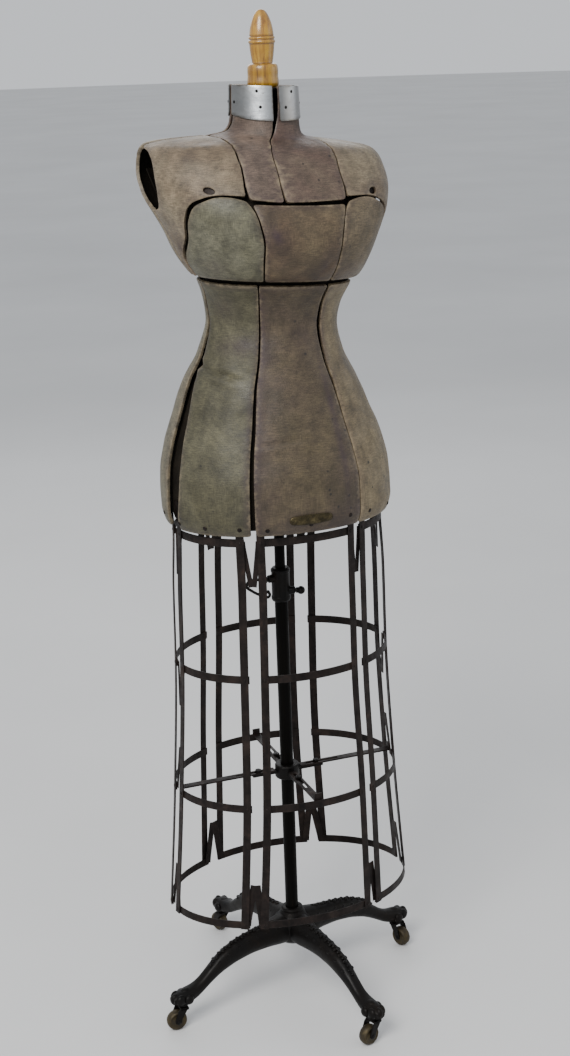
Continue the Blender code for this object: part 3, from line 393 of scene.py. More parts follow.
def patch(outline, step, holes=(), edge_step=EDGE_STEP):
    """Flat points, triangles and each point's distance to the nearest edge."""
    loops = [smooth_loop(outline, edge_step)]
    loops += [smooth_loop(hole, edge_step * 0.6, sharp=80.0) for hole in holes]
    low, high = loops[0].min(0), loops[0].max(0)
    rows = max(2, round((high[1] - low[1]) / (step * 0.87)))
    columns = max(2, round((high[0] - low[0]) / step))
    grid = []
    for j in range(1, rows):
        xs = low[0] + (np.arange(columns + 1) + 0.5 * (j % 2)) * (high[0] - low[0]) / columns
        grid.append(np.stack([xs, np.full(columns + 1, low[1] + j * (high[1] - low[1]) / rows)], -1))
    grid = np.vstack(grid)
    keep = inside(grid, loops[0])
    for k, loop in enumerate(loops):
        keep &= distance_to(grid, loop) > 0.5 * step
        if k:
            keep &= ~inside(grid, loop)
    points = np.vstack([*loops, grid[keep]])
    edges = []
    start = 0
    for loop in loops:
        edges += [(start + k, start + (k + 1) % len(loop)) for k in range(len(loop))]
        start += len(loop)
    found = delaunay_2d_cdt([Vector(p) for p in points], edges, [], 2, 1e-7)
    points = np.array([tuple(p) for p in found[0]])
    faces = found[2]
    centres = np.array([points[list(face)].mean(0) for face in faces])
    good = inside(centres, loops[0])
    for loop in loops[1:]:
        good &= ~inside(centres, loop)
    faces = [face for face, fine in zip(faces, good) if fine]
    used = sorted({k for face in faces for k in face})
    place = {k: i for i, k in enumerate(used)}
    faces = [[place[k] for k in face] for face in faces]
    points = points[used]
    edge = np.min([distance_to(points, loop) for loop in loops], axis=0)
    return points, faces, edge


# ---- making pieces


def new_object(name, mesh, *materials):
    obj = bpy.data.objects.new(name, mesh)
    bpy.context.scene.collection.objects.link(obj)
    for material in materials:
        mesh.materials.append(material)
    return obj


def from_bmesh(name, shape, *materials, smooth=35.0):
    mesh = bpy.data.meshes.new(name)
    bmesh.ops.recalc_face_normals(shape, faces=shape.faces)
    shape.to_mesh(mesh)
    shape.free()
    if smooth:
        mesh.shade_smooth()
        mesh.set_sharp_from_angle(angle=math.radians(smooth))
    return new_object(name, mesh, *materials)


def keep(obj, body, slot, *nodes):
    """The piece moves with a body and stands for CAD nodes; the slot is not used."""
    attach(obj, body)
    if nodes:
        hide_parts(*nodes)
    return obj


def bevel(obj, width, segments=2, angle=40.0):
    step = obj.modifiers.new("edges", "BEVEL")
    step.width = width
    step.segments = segments
    step.limit_method = "ANGLE"
    step.angle_limit = math.radians(angle)
    step.use_clamp_overlap = True
    return obj


def ease(t):
    t = np.clip(t, 0.0, 1.0)
    return t * t * (3 - 2 * t)


def add_attribute(mesh, name, values):
    made = mesh.attributes.new(name, "FLOAT", "POINT")
    made.data.foreach_set("value", np.asarray(values, np.float32))


def join_rings(shape, rings):
    """Adds the walls between rings of corners, and a cap at each end."""
    for ring, after in zip(rings, rings[1:]):
        for k in range(len(ring)):
            nxt = (k + 1) % len(ring)
            shape.faces.new((ring[k], ring[nxt], after[nxt], after[k]))
    shape.faces.new(rings[0][::-1])
    shape.faces.new(rings[-1])


def upright_to(way):
    """The turn that stands +Z along a direction."""
    return UP.rotation_difference(way.normalized()).to_matrix().to_4x4()


def tack(shape, at, normal, radius, height, rings=3, sides=12):
    """Adds a domed nail head to a mesh."""
    base = Matrix.Translation(Vector(at)) @ upright_to(Vector(normal))
    turns = [2 * math.pi * i / sides for i in range(sides)]
    loops = []
    for k in range(rings + 1):
        lift = math.pi / 2 * k / (rings + 0.6)
        r, z = radius * math.cos(lift), height * math.sin(lift)
        points = [Vector((r * math.cos(turn), r * math.sin(turn), z)) for turn in turns]
        loops.append([shape.verts.new(base @ point) for point in points])
    join_rings(shape, loops)


def sweep(shape, centres, ups, outs, width, wall, chamfer=0.0004):
    """Adds a flat strap: centres along it, ups across its width, outs across its thickness."""
    w, t, c = width / 2, wall / 2, chamfer
    section = [(w, t - c), (w - c, t), (-w + c, t), (-w, t - c)]
    section += [(-w, -t + c), (-w + c, -t), (w - c, -t), (w, -t + c)]
    rings = []
    for centre, up, out in zip(centres, ups, outs):
        points = [Vector(centre) + Vector(up) * a + Vector(out) * b for a, b in section]
        rings.append([shape.verts.new(point) for point in points])
    join_rings(shape, rings)


def spun(profile, steps=48):
    """A closed solid turned about Z from (radius, height) points that run top to bottom."""
    shape = bmesh.new()
    rings = []
    for r, z in profile:
        if r < 1e-6:
            rings.append([shape.verts.new((0.0, 0.0, z))])
            continue
        turns = [2 * math.pi * k / steps for k in range(steps)]
        rings.append([shape.verts.new((r * math.cos(a), r * math.sin(a), z)) for a in turns])
    hollow = len(rings[0]) > 1 and len(rings[-1]) > 1
    pairs = list(zip(rings, rings[1:])) + ([(rings[-1], rings[0])] if hollow else [])
    for high, low in pairs:
        for k in range(steps):
            j = (k + 1) % steps
            if len(high) == 1:
                shape.faces.new((high[0], low[k], low[j]))
            elif len(low) == 1:
                shape.faces.new((high[k], low[0], high[j]))
            else:
                shape.faces.new((high[k], low[k], low[j], high[j]))
    return shape


def rounded_profile(points, radius=0.0008, arc=3):
    """The profile with each inner corner replaced by a small arc."""
    made = [points[0]]
    for before, at, after in zip(points, points[1:], points[2:]):
        p, a, b = Vector(at), Vector(before), Vector(after)
        r = min(radius, (a - p).length * 0.45, (b - p).length * 0.45)
        start, end = p + (a - p).normalized() * r, p + (b - p).normalized() * r
        for k in range(arc + 1):
            t = k / arc
            made.append(tuple((1 - t) ** 2 * start + 2 * t * (1 - t) * p + t * t * end))
    return made + [points[-1]]


def curve_profile(points, count):
    """A smooth profile through the points."""
    points = np.array(points, float)
    along = np.r_[0.0, np.cumsum(np.linalg.norm(np.diff(points, axis=0), axis=1))]
    ways = np.gradient(points, along, axis=0)
    made = []
    for s in np.linspace(0.0, along[-1], count):
        k = min(int(np.searchsorted(along, s, side="right")) - 1, len(points) - 2)
        span = along[k + 1] - along[k]
        t = (s - along[k]) / span
        made.append(tuple(cubic(t, points[k], ways[k], points[k + 1], ways[k + 1], span)))
    return made


def add_box(shape, low, high):
    low, high = Vector(low), Vector(high)
    place = Matrix.LocRotScale((low + high) / 2, None, high - low)
    bmesh.ops.create_cube(shape, size=1.0, matrix=place)


def add_rod(shape, start, end, radius, top=None, sides=20):
    start, end = Vector(start), Vector(end)
    place = Matrix.Translation((start + end) / 2) @ upright_to(end - start)
    top = radius if top is None else top
    bmesh.ops.create_cone(shape, cap_ends=True, segments=sides, radius1=radius, radius2=top,
                          depth=(end - start).length, matrix=place)


def add_ball(shape, at, size, u=16, v=10):
    place = Matrix.Translation(at) @ Matrix.Diagonal((*size, 1.0))
    bmesh.ops.create_uvsphere(shape, u_segments=u, v_segments=v, radius=1.0, matrix=place)


def turned(shape, angle, axis):
    """Turns a mesh about an axis through the origin."""
    turn = Matrix.Rotation(math.radians(angle), 3, axis)
    bmesh.ops.rotate(shape, cent=(0, 0, 0), matrix=turn, verts=shape.verts)
    return shape


def tube_along(shape, points, radius, sides=10):
    """Adds a round rod along a list of points."""
    points = [Vector(p) for p in points]
    rings = []
    side = None
    for k, p in enumerate(points):
        way = (points[min(k + 1, len(points) - 1)] - points[max(k - 1, 0)]).normalized()
        if side is None:
            side = way.orthogonal().normalized()
        side = (side - way * side.dot(way)).normalized()
        up = way.cross(side)
        turns = [2 * math.pi * i / sides for i in range(sides)]
        points_round = [p + (side * math.cos(turn) + up * math.sin(turn)) * radius for turn in turns]
        rings.append([shape.verts.new(point) for point in points_round])
    join_rings(shape, rings)


# ---- materials


class Nodes:
    """A short way to write a material's node tree."""

    def __init__(self, name):
        self.material = bpy.data.materials.new(name)
        self.material.use_nodes = True
        self.tree = self.material.node_tree
        self.shader = self.tree.nodes["Principled BSDF"]
        self.place = self.tree.nodes.new("ShaderNodeTexCoord").outputs["Object"]

    def put(self, socket, value):
        """Links a socket to the value, or sets it; a colour gets its alpha."""
        if isinstance(value, bpy.types.NodeSocket):
            self.tree.links.new(value, socket)
        elif socket.type == "RGBA":
            socket.default_value = (*value, 1.0)
        else:
            socket.default_value = value

    def add(self, kind, **inputs):
        made = self.tree.nodes.new("ShaderNode" + kind)
        for name, value in inputs.items():
            self.put(made.inputs[name], value)
        return made

    def set(self, **values):
        for name, value in values.items():
            self.put(self.shader.inputs[name.replace("_", " ")], value)

    def moved(self, **how):
        """The object's coordinates with a Location or a Scale."""
        return self.add("Mapping", Vector=self.place, **how).outputs["Vector"]

    def noise(self, scale, detail=4.0, rough=0.55, stretch=None, warp=0.0):
        place = self.moved(Scale=stretch) if stretch else self.place
        made = self.add("TexNoise", Scale=scale, Detail=detail, Roughness=rough, Distortion=warp,
                        Vector=place)
        return made.outputs["Fac"]

    def spots(self, scale):
        return self.add("TexVoronoi", Scale=scale, Vector=self.place).outputs["Distance"]

    def attribute(self, name):
        made = self.add("Attribute")
        made.attribute_name = name
        return made.outputs["Fac"]

    def ramp(self, socket, *stops):
        """Stops are (position, grey or colour)."""
        made = self.add("ValToRGB", Fac=socket)
        found = made.color_ramp.elements
        while len(found) < len(stops):
            found.new(0.5)
        for element, (at, colour) in zip(found, stops):
            element.position = at
            element.color = (*colour, 1.0) if isinstance(colour, tuple) else (colour,) * 3 + (1.0,)
        return made.outputs["Color"]

    def maths(self, operation, a, b):
        made = self.add("Math")
        made.operation = operation
        self.put(made.inputs[0], a)
        self.put(made.inputs[1], b)
        return made.outputs["Value"]

    def mix(self, fac, a, b, blend="MIX"):
        made = self.add("Mix")
        made.data_type = "RGBA"
        made.blend_type = blend
        # A Mix node has one set of sockets for each kind of data; these are those of a colour
        for index, value in ((0, fac), (6, a), (7, b)):
            self.put(made.inputs[index], value)
        return made.outputs[2]

    def bump(self, *layers):
        """Layers are (height socket, distance in metres)."""
        last = None
        for height, distance in layers:
            made = self.add("Bump", Distance=distance, Strength=1.0, Height=height)
            if last is not None:
                self.put(made.inputs["Normal"], last)
            last = made.outputs["Normal"]
        self.put(self.shader.inputs["Normal"], last)


# Colour of the stains and of the painted shade along the panels' edges
STAIN_AND_EDGE_SHADE = (0.030, 0.016, 0.021)
WORN_EDGE = (0.30, 0.235, 0.145)


def papier_mache(name, main, second, seed):
    """Aged papier-mache with a rubbed, cloth-textured skin; main and second are its two drifting colours."""
    n = Nodes(name)
    n.place = n.moved(Location=(seed * 1.7, seed * 0.9, seed * 2.3))
    drift = n.ramp(n.noise(7.0, 6.0, 0.62, warp=0.6), (0.36, 0.0), (0.64, 1.0))
    colour = n.mix(drift, main, second)
    mottle = n.ramp(n.noise(38.0, 8.0, 0.66), (0.30, 0.50), (0.52, 1.0), (0.74, 1.42))
    colour = n.mix(1.0, colour, mottle, "MULTIPLY")
    across = n.noise(1.0, 3.0, 0.5, (110.0, 110.0, 1050.0))
    down = n.noise(1.0, 3.0, 0.5, (1500.0, 1500.0, 70.0))
    threads = n.maths("ADD", n.maths("MULTIPLY", across, 0.5), n.maths("MULTIPLY", down, 0.5))
    colour = n.mix(1.0, colour, n.ramp(threads, (0.38, 0.58), (0.62, 1.36)), "MULTIPLY")
    grime = n.ramp(n.noise(16.0, 9.0, 0.72, warp=1.2), (0.52, 0.0), (0.70, 0.72))
    colour = n.mix(grime, colour, tuple(c * 0.42 for c in main))
    pits = n.ramp(n.spots(52.0), (0.075, 1.0), (0.13, 0.0))
    rare = n.ramp(n.noise(13.0, 3.0), (0.51, 0.0), (0.55, 0.90))
    colour = n.mix(n.maths("MULTIPLY", pits, rare), colour, (0.012, 0.010, 0.008))
    uneven = n.ramp(n.noise(60.0, 5.0), (0.25, 0.55), (0.6, 1.0))
    # Stains, and painted shade that darkens each panel towards its edges
    colour = n.mix(n.maths("MULTIPLY", n.attribute("stain_and_edge_shade"), uneven), colour, STAIN_AND_EDGE_SHADE)
    patchy = n.ramp(n.noise(70.0, 7.0, 0.7), (0.42, 0.0), (0.66, 0.62))
    colour = n.mix(n.maths("MULTIPLY", n.attribute("rub"), patchy), colour, WORN_EDGE)
    rough = n.ramp(n.noise(22.0, 6.0), (0.30, 0.42), (0.70, 0.68))
    n.set(Base_Color=colour, Roughness=rough, Specular_IOR_Level=0.42)
    n.bump((n.noise(26.0, 5.0), 0.0016), (threads, 0.00035), (n.noise(420.0, 4.0, 0.7), 0.00030))
    return n.material


def inner_paper_shade():
    """Brown paper on the panels' hidden side, painted near black as the shade inside the form."""
    n = Nodes("inner_paper_shade")
    fibres = n.noise(30.0, 8.0, 0.7)
    colour = n.ramp(fibres, (0.30, (0.0050, 0.0040, 0.0030)), (0.70, (0.0150, 0.0115, 0.0080)))
    rough = n.ramp(n.noise(80.0), (0.2, 0.80), (0.8, 0.95))
    n.set(Base_Color=colour, Roughness=rough, Specular_IOR_Level=0.12)
    n.bump((n.noise(60.0, 8.0, 0.7), 0.002))
    return n.material


def nickel():
    """Dulled nickel-plated sheet: smears, pin scratches and brown specks along it."""
    n = Nodes("nickel_sheet")
    smear = n.noise(14.0, 6.0, 0.65, warp=0.8)
    colour = n.ramp(smear, (0.32, (0.56, 0.56, 0.55)), (0.52, (0.76, 0.79, 0.81)), (0.75, (0.84, 0.88, 0.91)))
    specks = n.ramp(n.noise(190.0, 6.0, 0.7), (0.62, 0.0), (0.72, 0.75))
    colour = n.mix(specks, colour, (0.16, 0.115, 0.07))
    patchy = n.ramp(n.noise(70.0, 6.0), (0.4, 0.0), (0.6, 0.8))
    colour = n.mix(n.maths("MULTIPLY", n.attribute("rub"), patchy), colour, (0.20, 0.155, 0.095))
    # Painted shade over the collar, left out in painted highlight bands where it faces the light
    colour = n.mix(n.attribute("shade"), colour, (0.075, 0.066, 0.056))
    scratch = n.noise(1.0, 4.0, 0.6, (60.0, 60.0, 1800.0))
    rough = n.ramp(n.noise(40.0, 6.0, 0.7), (0.3, 0.24), (0.7, 0.46))
    n.set(Metallic=1.0, Base_Color=colour, Roughness=rough)
    n.bump((n.noise(24.0, 3.0), 0.0012), (scratch, 0.00006))
    return n.material


def varnished_wood():
    """Amber varnished hardwood; the grain runs up the piece, and painted shade darkens the turned grooves."""
    n = Nodes("varnished_wood")
    grain = n.noise(1.0, 8.0, 0.62, (220.0, 220.0, 9.0), warp=0.4)
    pores = n.noise(1.0, 5.0, 0.7, (900.0, 900.0, 26.0))
    amber = (0.34, (0.120, 0.052, 0.004)), (0.50, (0.285, 0.142, 0.008)), (0.68, (0.440, 0.258, 0.018))
    colour = n.mix(n.ramp(pores, (0.58, 0.0), (0.70, 0.55)), n.ramp(grain, *amber), (0.15, 0.055, 0.015))
    colour = n.mix(n.ramp(n.noise(9.0, 3.0), (0.45, 0.0), (0.72, 0.45)), colour, (0.34, 0.150, 0.034))
    # Painted shade in the turned grooves
    colour = n.mix(n.attribute("groove"), colour, (0.085, 0.032, 0.010))
    rough = n.ramp(n.noise(60.0, 5.0), (0.3, 0.24), (0.7, 0.40))
    n.set(Base_Color=colour, Roughness=rough, Coat_Weight=0.55, Coat_Roughness=0.16)
    n.bump((grain, 0.00025), (pores, 0.00010))
    return n.material


def metal(name, wear, colours, metallic, rough, bumps, streak=None, **settings):
    """Worn metal. wear is the settings of a noise, which decides the colour and, where metallic is a ramp,
    how metallic it is. rough is a noise's scale and detail and a ramp; bumps are (metres, noise settings)."""
    n = Nodes(name)
    worn = n.noise(**wear)
    colour = n.ramp(worn, *colours)
    if streak:
        lines = n.noise(1.0, 5.0, 0.6, streak)
        colour = n.mix(n.ramp(lines, (0.50, 0.0), (0.72, 0.45)), colour, (0.024, 0.017, 0.014))
    if isinstance(metallic, tuple):
        metallic = n.ramp(worn, *metallic)
    scale, detail, *stops = rough
    n.set(Base_Color=colour, Metallic=metallic, Roughness=n.ramp(n.noise(scale, detail), *stops), **settings)
    n.bump(*[(n.noise(*noise_settings), depth) for depth, *noise_settings in bumps])
    return n.material


INNER_SHADE = inner_paper_shade()
NICKEL = nickel()
WOOD = varnished_wood()
# Dark oxidised strap iron with brown bloom and streaks
STRAPS = metal(
    "strap_iron",
    dict(scale=34.0, detail=9.0, rough=0.72, warp=0.5),
    ((0.32, (0.0050, 0.0040, 0.0038)), (0.52, (0.0110, 0.0072, 0.0062)), (0.76, (0.030, 0.017, 0.012))),
    ((0.40, 0.45), (0.66, 0.10)),
    (85.0, 6.0, (0.3, 0.40), (0.7, 0.68)),
    ((0.00022, 230.0, 6.0, 0.7), (0.0005, 34.0, 4.0)),
    streak=(160.0, 160.0, 24.0),
    Specular_IOR_Level=0.22,
)
# Black japanned casting, worn glossy, brown where it has rubbed through
IRON = metal(
    "black_iron",
    dict(scale=26.0, detail=8.0, rough=0.7),
    ((0.40, (0.0034, 0.0031, 0.0030)), (0.62, (0.0075, 0.0060, 0.0052)), (0.80, (0.026, 0.017, 0.012))),
    ((0.45, 0.10), (0.75, 0.60)),
    (50.0, 6.0, (0.3, 0.34), (0.72, 0.58)),
    ((0.0004, 150.0, 6.0, 0.65), (0.0008, 40.0, 4.0)),
    Specular_IOR_Level=0.12, Coat_Weight=0.03, Coat_Roughness=0.20,
)
TUBE = metal(
    "tube_steel",
    dict(scale=1.0, detail=6.0, rough=0.6, stretch=(120.0, 120.0, 14.0)),
    ((0.35, (0.0016, 0.0015, 0.0014)), (0.62, (0.0040, 0.0034, 0.0028)), (0.82, (0.018, 0.013, 0.010))),
    ((0.4, 0.15), (0.8, 0.60)),
    (70.0, 6.0, (0.3, 0.34), (0.7, 0.55)),
    ((0.00012, 300.0, 5.0),),
    Specular_IOR_Level=0.06,
)
# Tarnished brass treads, greenish brown
BRASS = metal(
    "caster_brass",
    dict(scale=70.0, detail=8.0, rough=0.7),
    ((0.34, (0.016, 0.012, 0.007)), (0.55, (0.055, 0.042, 0.022)), (0.78, (0.150, 0.118, 0.064))),
    ((0.35, 0.45), (0.65, 0.85)),
    (140.0, 6.0, (0.3, 0.42), (0.7, 0.66)),
    ((0.0003, 260.0, 6.0, 0.7), (0.0006, 60.0, 4.0)),
)
PLATE_METAL = metal(
    "plate_brass",
    dict(scale=110.0, detail=8.0, rough=0.72),
    ((0.36, (0.016, 0.013, 0.006)), (0.55, (0.058, 0.045, 0.020)), (0.80, (0.170, 0.135, 0.062))),
    0.75,
    (90.0, 5.0, (0.3, 0.34), (0.7, 0.58)),
    ((0.0003, 240.0, 6.0),),
)
SLOTS = {"strap_iron": STRAPS, "black_iron": IRON, "tube_steel": TUBE, "caster_brass": BRASS}
SLOTS |= {"plate_brass": PLATE_METAL, "turned_wood": WOOD, "papier_mache": INNER_SHADE}


def add_piece(name, shape, slot, body, *nodes, smooth=35.0):
    """Makes a piece in the finish that its slot is shown in."""
    return keep(from_bmesh(name, shape, SLOTS[slot], smooth=smooth), body, slot, *nodes)


def add_sheet(name, outline, step, height, thickness, *materials, holes=(), edge_step=EDGE_STEP, offset=-1.0):
    """A thin piece on the torso; height gives the points' distance off its surface."""
    points, faces, edge = patch(outline, step, holes, edge_step)
    angle, level = unflat(points)
    mesh = bpy.data.meshes.new(name)
    place = TORSO.raised(angle, level, height(points, edge, angle, level))
    mesh.from_pydata(place.tolist(), [], faces)
    mesh.shade_smooth()
    obj = new_object(name, mesh, *materials)
    wall = obj.modifiers.new("wall", "SOLIDIFY")
    wall.thickness = thickness
    wall.offset = offset
    return obj, edge, angle, level


# ---- torso panels

# Each panel's main and second colour
OLIVE_GREY = ((0.049, 0.0435, 0.0225), (0.080, 0.073, 0.043))
OLIVE_BROWN = ((0.192, 0.156, 0.102), (0.130, 0.095, 0.061))
BROWN = ((0.070, 0.046, 0.026), (0.098, 0.074, 0.041))
TAUPE = ((0.122, 0.086, 0.064), (0.084, 0.059, 0.046))
PANEL_COLOURS = {
    "neck_front_left": ((0.066, 0.039, 0.030), (0.092, 0.066, 0.046)),
    "neck_front_right": TAUPE,
    "neck_back_left": TAUPE,
    "neck_back_right": TAUPE,
    "shoulder_front_left": OLIVE_BROWN,
    "shoulder_front_right": OLIVE_BROWN,
    "shoulder_back_left": ((0.150, 0.122, 0.082), (0.180, 0.155, 0.108)),
    "shoulder_back_right": ((0.150, 0.122, 0.082), (0.180, 0.155, 0.108)),
    "bust_left": ((0.125, 0.096, 0.056), (0.094, 0.070, 0.042)),
    "bust_right": ((0.070, 0.065, 0.036), (0.122, 0.116, 0.080)),
    "bust_center": BROWN,
    "hip_front": ((0.073, 0.055, 0.029), (0.054, 0.037, 0.026)),
    "hip_front_left": ((0.185, 0.148, 0.085), (0.122, 0.092, 0.052)),
    "hip_front_right": OLIVE_GREY,
    "hip_back": ((0.125, 0.105, 0.070), (0.105, 0.080, 0.054)),
    "hip_back_left": OLIVE_BROWN,
    "hip_back_right": ((0.130, 0.112, 0.075), (0.105, 0.096, 0.064)),
}
# Soft dark marks: panel, angle, level, their half sizes, strength
STAINS = (
    ("bust_center", -12.0, 1.218, 2.2, 0.010, 0.85),
    ("bust_center", -11.0, 1.212, 7.0, 0.028, 0.30),
    ("bust_center", 13.0, 1.178, 4.0, 0.030, 0.35),
    ("hip_front", 20.5, 0.975, 2.4, 0.055, 0.75),
    ("hip_front", 19.5, 0.890, 1.8, 0.060, 0.60),
    ("hip_front", -24.0, 1.070, 5.5, 0.090, 0.42),
    ("hip_front", -25.0, 0.930, 3.6, 0.110, 0.34),
    ("hip_front", 8.0, 1.075, 16.0, 0.045, 0.30),
    ("hip_front", 2.0, 0.812, 26.0, 0.016, 0.35),
    ("hip_front_right", -42.0, 1.056, 20.0, 0.014, 0.60),
    ("hip_front_right", -62.0, 1.110, 14.0, 0.020, 0.35),
    ("hip_front_right", -30.0, 0.900, 2.2, 0.120, 0.35),
    ("hip_front_left", 60.0, 0.990, 12.0, 0.050, 0.25),
    ("hip_front_left", 31.0, 1.090, 4.0, 0.060, 0.40),
    ("bust_right", -55.0, 1.170, 12.0, 0.012, 0.35),
    ("bust_left", 30.0, 1.165, 14.0, 0.014, 0.40),
    ("shoulder_front_right", -80.0, 1.190, 6.0, 0.022, 0.45),
    ("shoulder_front_right", -45.0, 1.320, 5.0, 0.012, 0.20),
    ("shoulder_front_left", 30.0, 1.345, 10.0, 0.022, 0.28),
    ("neck_front_left", 18.0, 1.440, 12.0, 0.022, 0.45),
    ("neck_front_right", -60.0, 1.460, 16.0, 0.016, 0.25),
    ("hip_back", 172.0, 0.930, 9.0, 0.080, 0.35),
    ("shoulder_back_left", 140.0, 1.230, 14.0, 0.030, 0.30),
    ("shoulder_back_right", -120.0, 1.190, 16.0, 0.020, 0.30),
)
WAIST_CREASE = ((-84.0, 1.030), (-76.0, 1.024), (-66.0, 1.0195), (-56.0, 1.018), (-32.0, 1.0080))
# Folds in the skin: panel, route in (angle, level), depth and half width in metres
FOLDS = (
    ("hip_front_right", WAIST_CREASE, 0.0034, 0.0046),
    ("hip_front_right", ((-78.0, 1.036), (-66.0, 1.031), (-54.0, 1.030)), 0.0009, 0.0060),
    ("hip_front", ((-26.0, 0.9250), (-16.0, 0.9270), (-2.0, 0.9320), (6.0, 0.9300)), 0.0014, 0.0035),
    ("hip_front_left", ((40.0, 0.960), (55.0, 0.952), (70.0, 0.958)), 0.0008, 0.0050),
    ("hip_back", ((166.0, 1.020), (180.0, 1.014), (194.0, 1.022)), 0.0012, 0.0045),
    ("hip_back_left", ((100.0, 1.045), (118.0, 1.038), (138.0, 1.044)), 0.0010, 0.0050),
    ("bust_center", ((8.0, 1.163), (14.0, 1.171), (17.0, 1.184)), 0.0010, 0.0040),
)


def open_distance(points, route):
    """Distance from flat points to an open line, and how far along it each is, 0 to 1."""
    line = flat(route)
    best = np.full(len(points), 1e9)
    along = np.zeros(len(points))
    for k in range(len(line) - 1):
        edge = line[k + 1] - line[k]
        t = np.clip(((points - line[k]) @ edge) / (edge @ edge), 0.0, 1.0)
        away = np.linalg.norm(points - line[k] - t[:, None] * edge, axis=1)
        nearer = away < best
        best = np.where(nearer, away, best)
        along = np.where(nearer, (k + t) / (len(line) - 1), along)
    return best, along


def dents(name, points, edge, angle, level):
    """How far each point of a panel stands off the true surface."""
    lift = np.zeros(len(points))
    for k, place in enumerate(TORSO.point(angle, level)):
        at = Vector(place)
        lift[k] = 0.0011 * noise.noise(at * 15.0)
        lift[k] += 0.00045 * noise.noise(at * 48.0 + Vector((3.0, 1.0, 7.0)))
    lift *= ease(edge / 0.020)
    for panel, route, depth, half in FOLDS:
        if panel == name:
            away, along = open_distance(points, route)
            fade = ease(np.minimum(along, 1 - along) * 5.0)
            ridge = 0.7 * np.exp(-((away - half * 1.5) / half) ** 2)
            lift += depth * fade * (ridge - np.exp(-((away / half) ** 2)))
    return lift - 0.0008 * ease(1.0 - edge / 0.0035)


def stains(name, angle, level):
    total = np.zeros(len(angle))
    for panel, at, height, half_angle, half_level, strength in STAINS:
        if panel == name:
            across, along = (angle - at) / half_angle, (level - height) / half_level
            total += strength * np.exp(-(across**2) - along**2)
    return np.clip(total, 0.0, 0.95)


def make_panel(name, outline, body, holes=(), seed=0.0):
    main, second = PANEL_COLOURS[name]
    finish = papier_mache(name, main, second, seed)
    obj, edge, angle, level = add_sheet(
        name + "_skin", outline, PANEL_STEP, lambda *at: dents(name, *at), SHELL, finish, INNER_SHADE, holes=holes)
    add_attribute(obj.data, "rub", ease(1.0 - edge / 0.0024))
    # Mask of the soft dark marks plus painted shade that darkens the panel within 11 mm of each edge
    add_attribute(obj.data, "stain_and_edge_shade", stains(name, angle, level) + 0.34 * ease(1.0 - edge / 0.011))
    wall = obj.modifiers["wall"]
    wall.use_even_offset = True
    wall.use_quality_normals = True
    # The hidden side takes the near-black inner paper, painted shade
    wall.material_offset = 1
    bevel(obj, 0.0011, 2, 50.0)
    return keep(obj, body, "papier_mache", name)


def make_torso():
    seed = 0.0
    for side, flip in (("left", False), ("right", True)):
        bend = -1.0 if flip else 1.0
        slot = oval(*SLOT, 12)
        quarters = (
            (f"neck_front_{side}", neck_outline(False, bend), (), f"quarter_front_{side}"),
            (f"neck_back_{side}", neck_outline(True), (), f"quarter_back_{side}"),
            (f"shoulder_front_{side}", shoulder_front_outline(), (slot,), f"quarter_front_{side}"),
            (f"shoulder_back_{side}", shoulder_back_outline(), (), f"quarter_back_{side}"),
            (f"bust_{side}", bust_cup_outline(), (), f"bust_side_{side}"),
        )
        for name, outline, holes, body in quarters:
            seed += 1.0
            if flip:
                outline = mirrored(outline)
                holes = [mirrored(hole) for hole in holes]
            make_panel(name, outline, body, holes, seed)
    make_panel("bust_center", bust_centre_outline(), "bust_middle", seed=12.0)
    for name, seams in HIP_PANELS.items():
        seed += 1.0
        make_panel(f"hip_{name}", hip_outline(*seams), f"section_{name}", seed=seed)


STRIP_WALL = 0.0010
WAIST_BAND_LEVEL = 1.1395
CHEST_BAND_LEVEL = 1.2650
BACK_BAND_LEVELS = (1.1555, 1.2000, 1.2400)


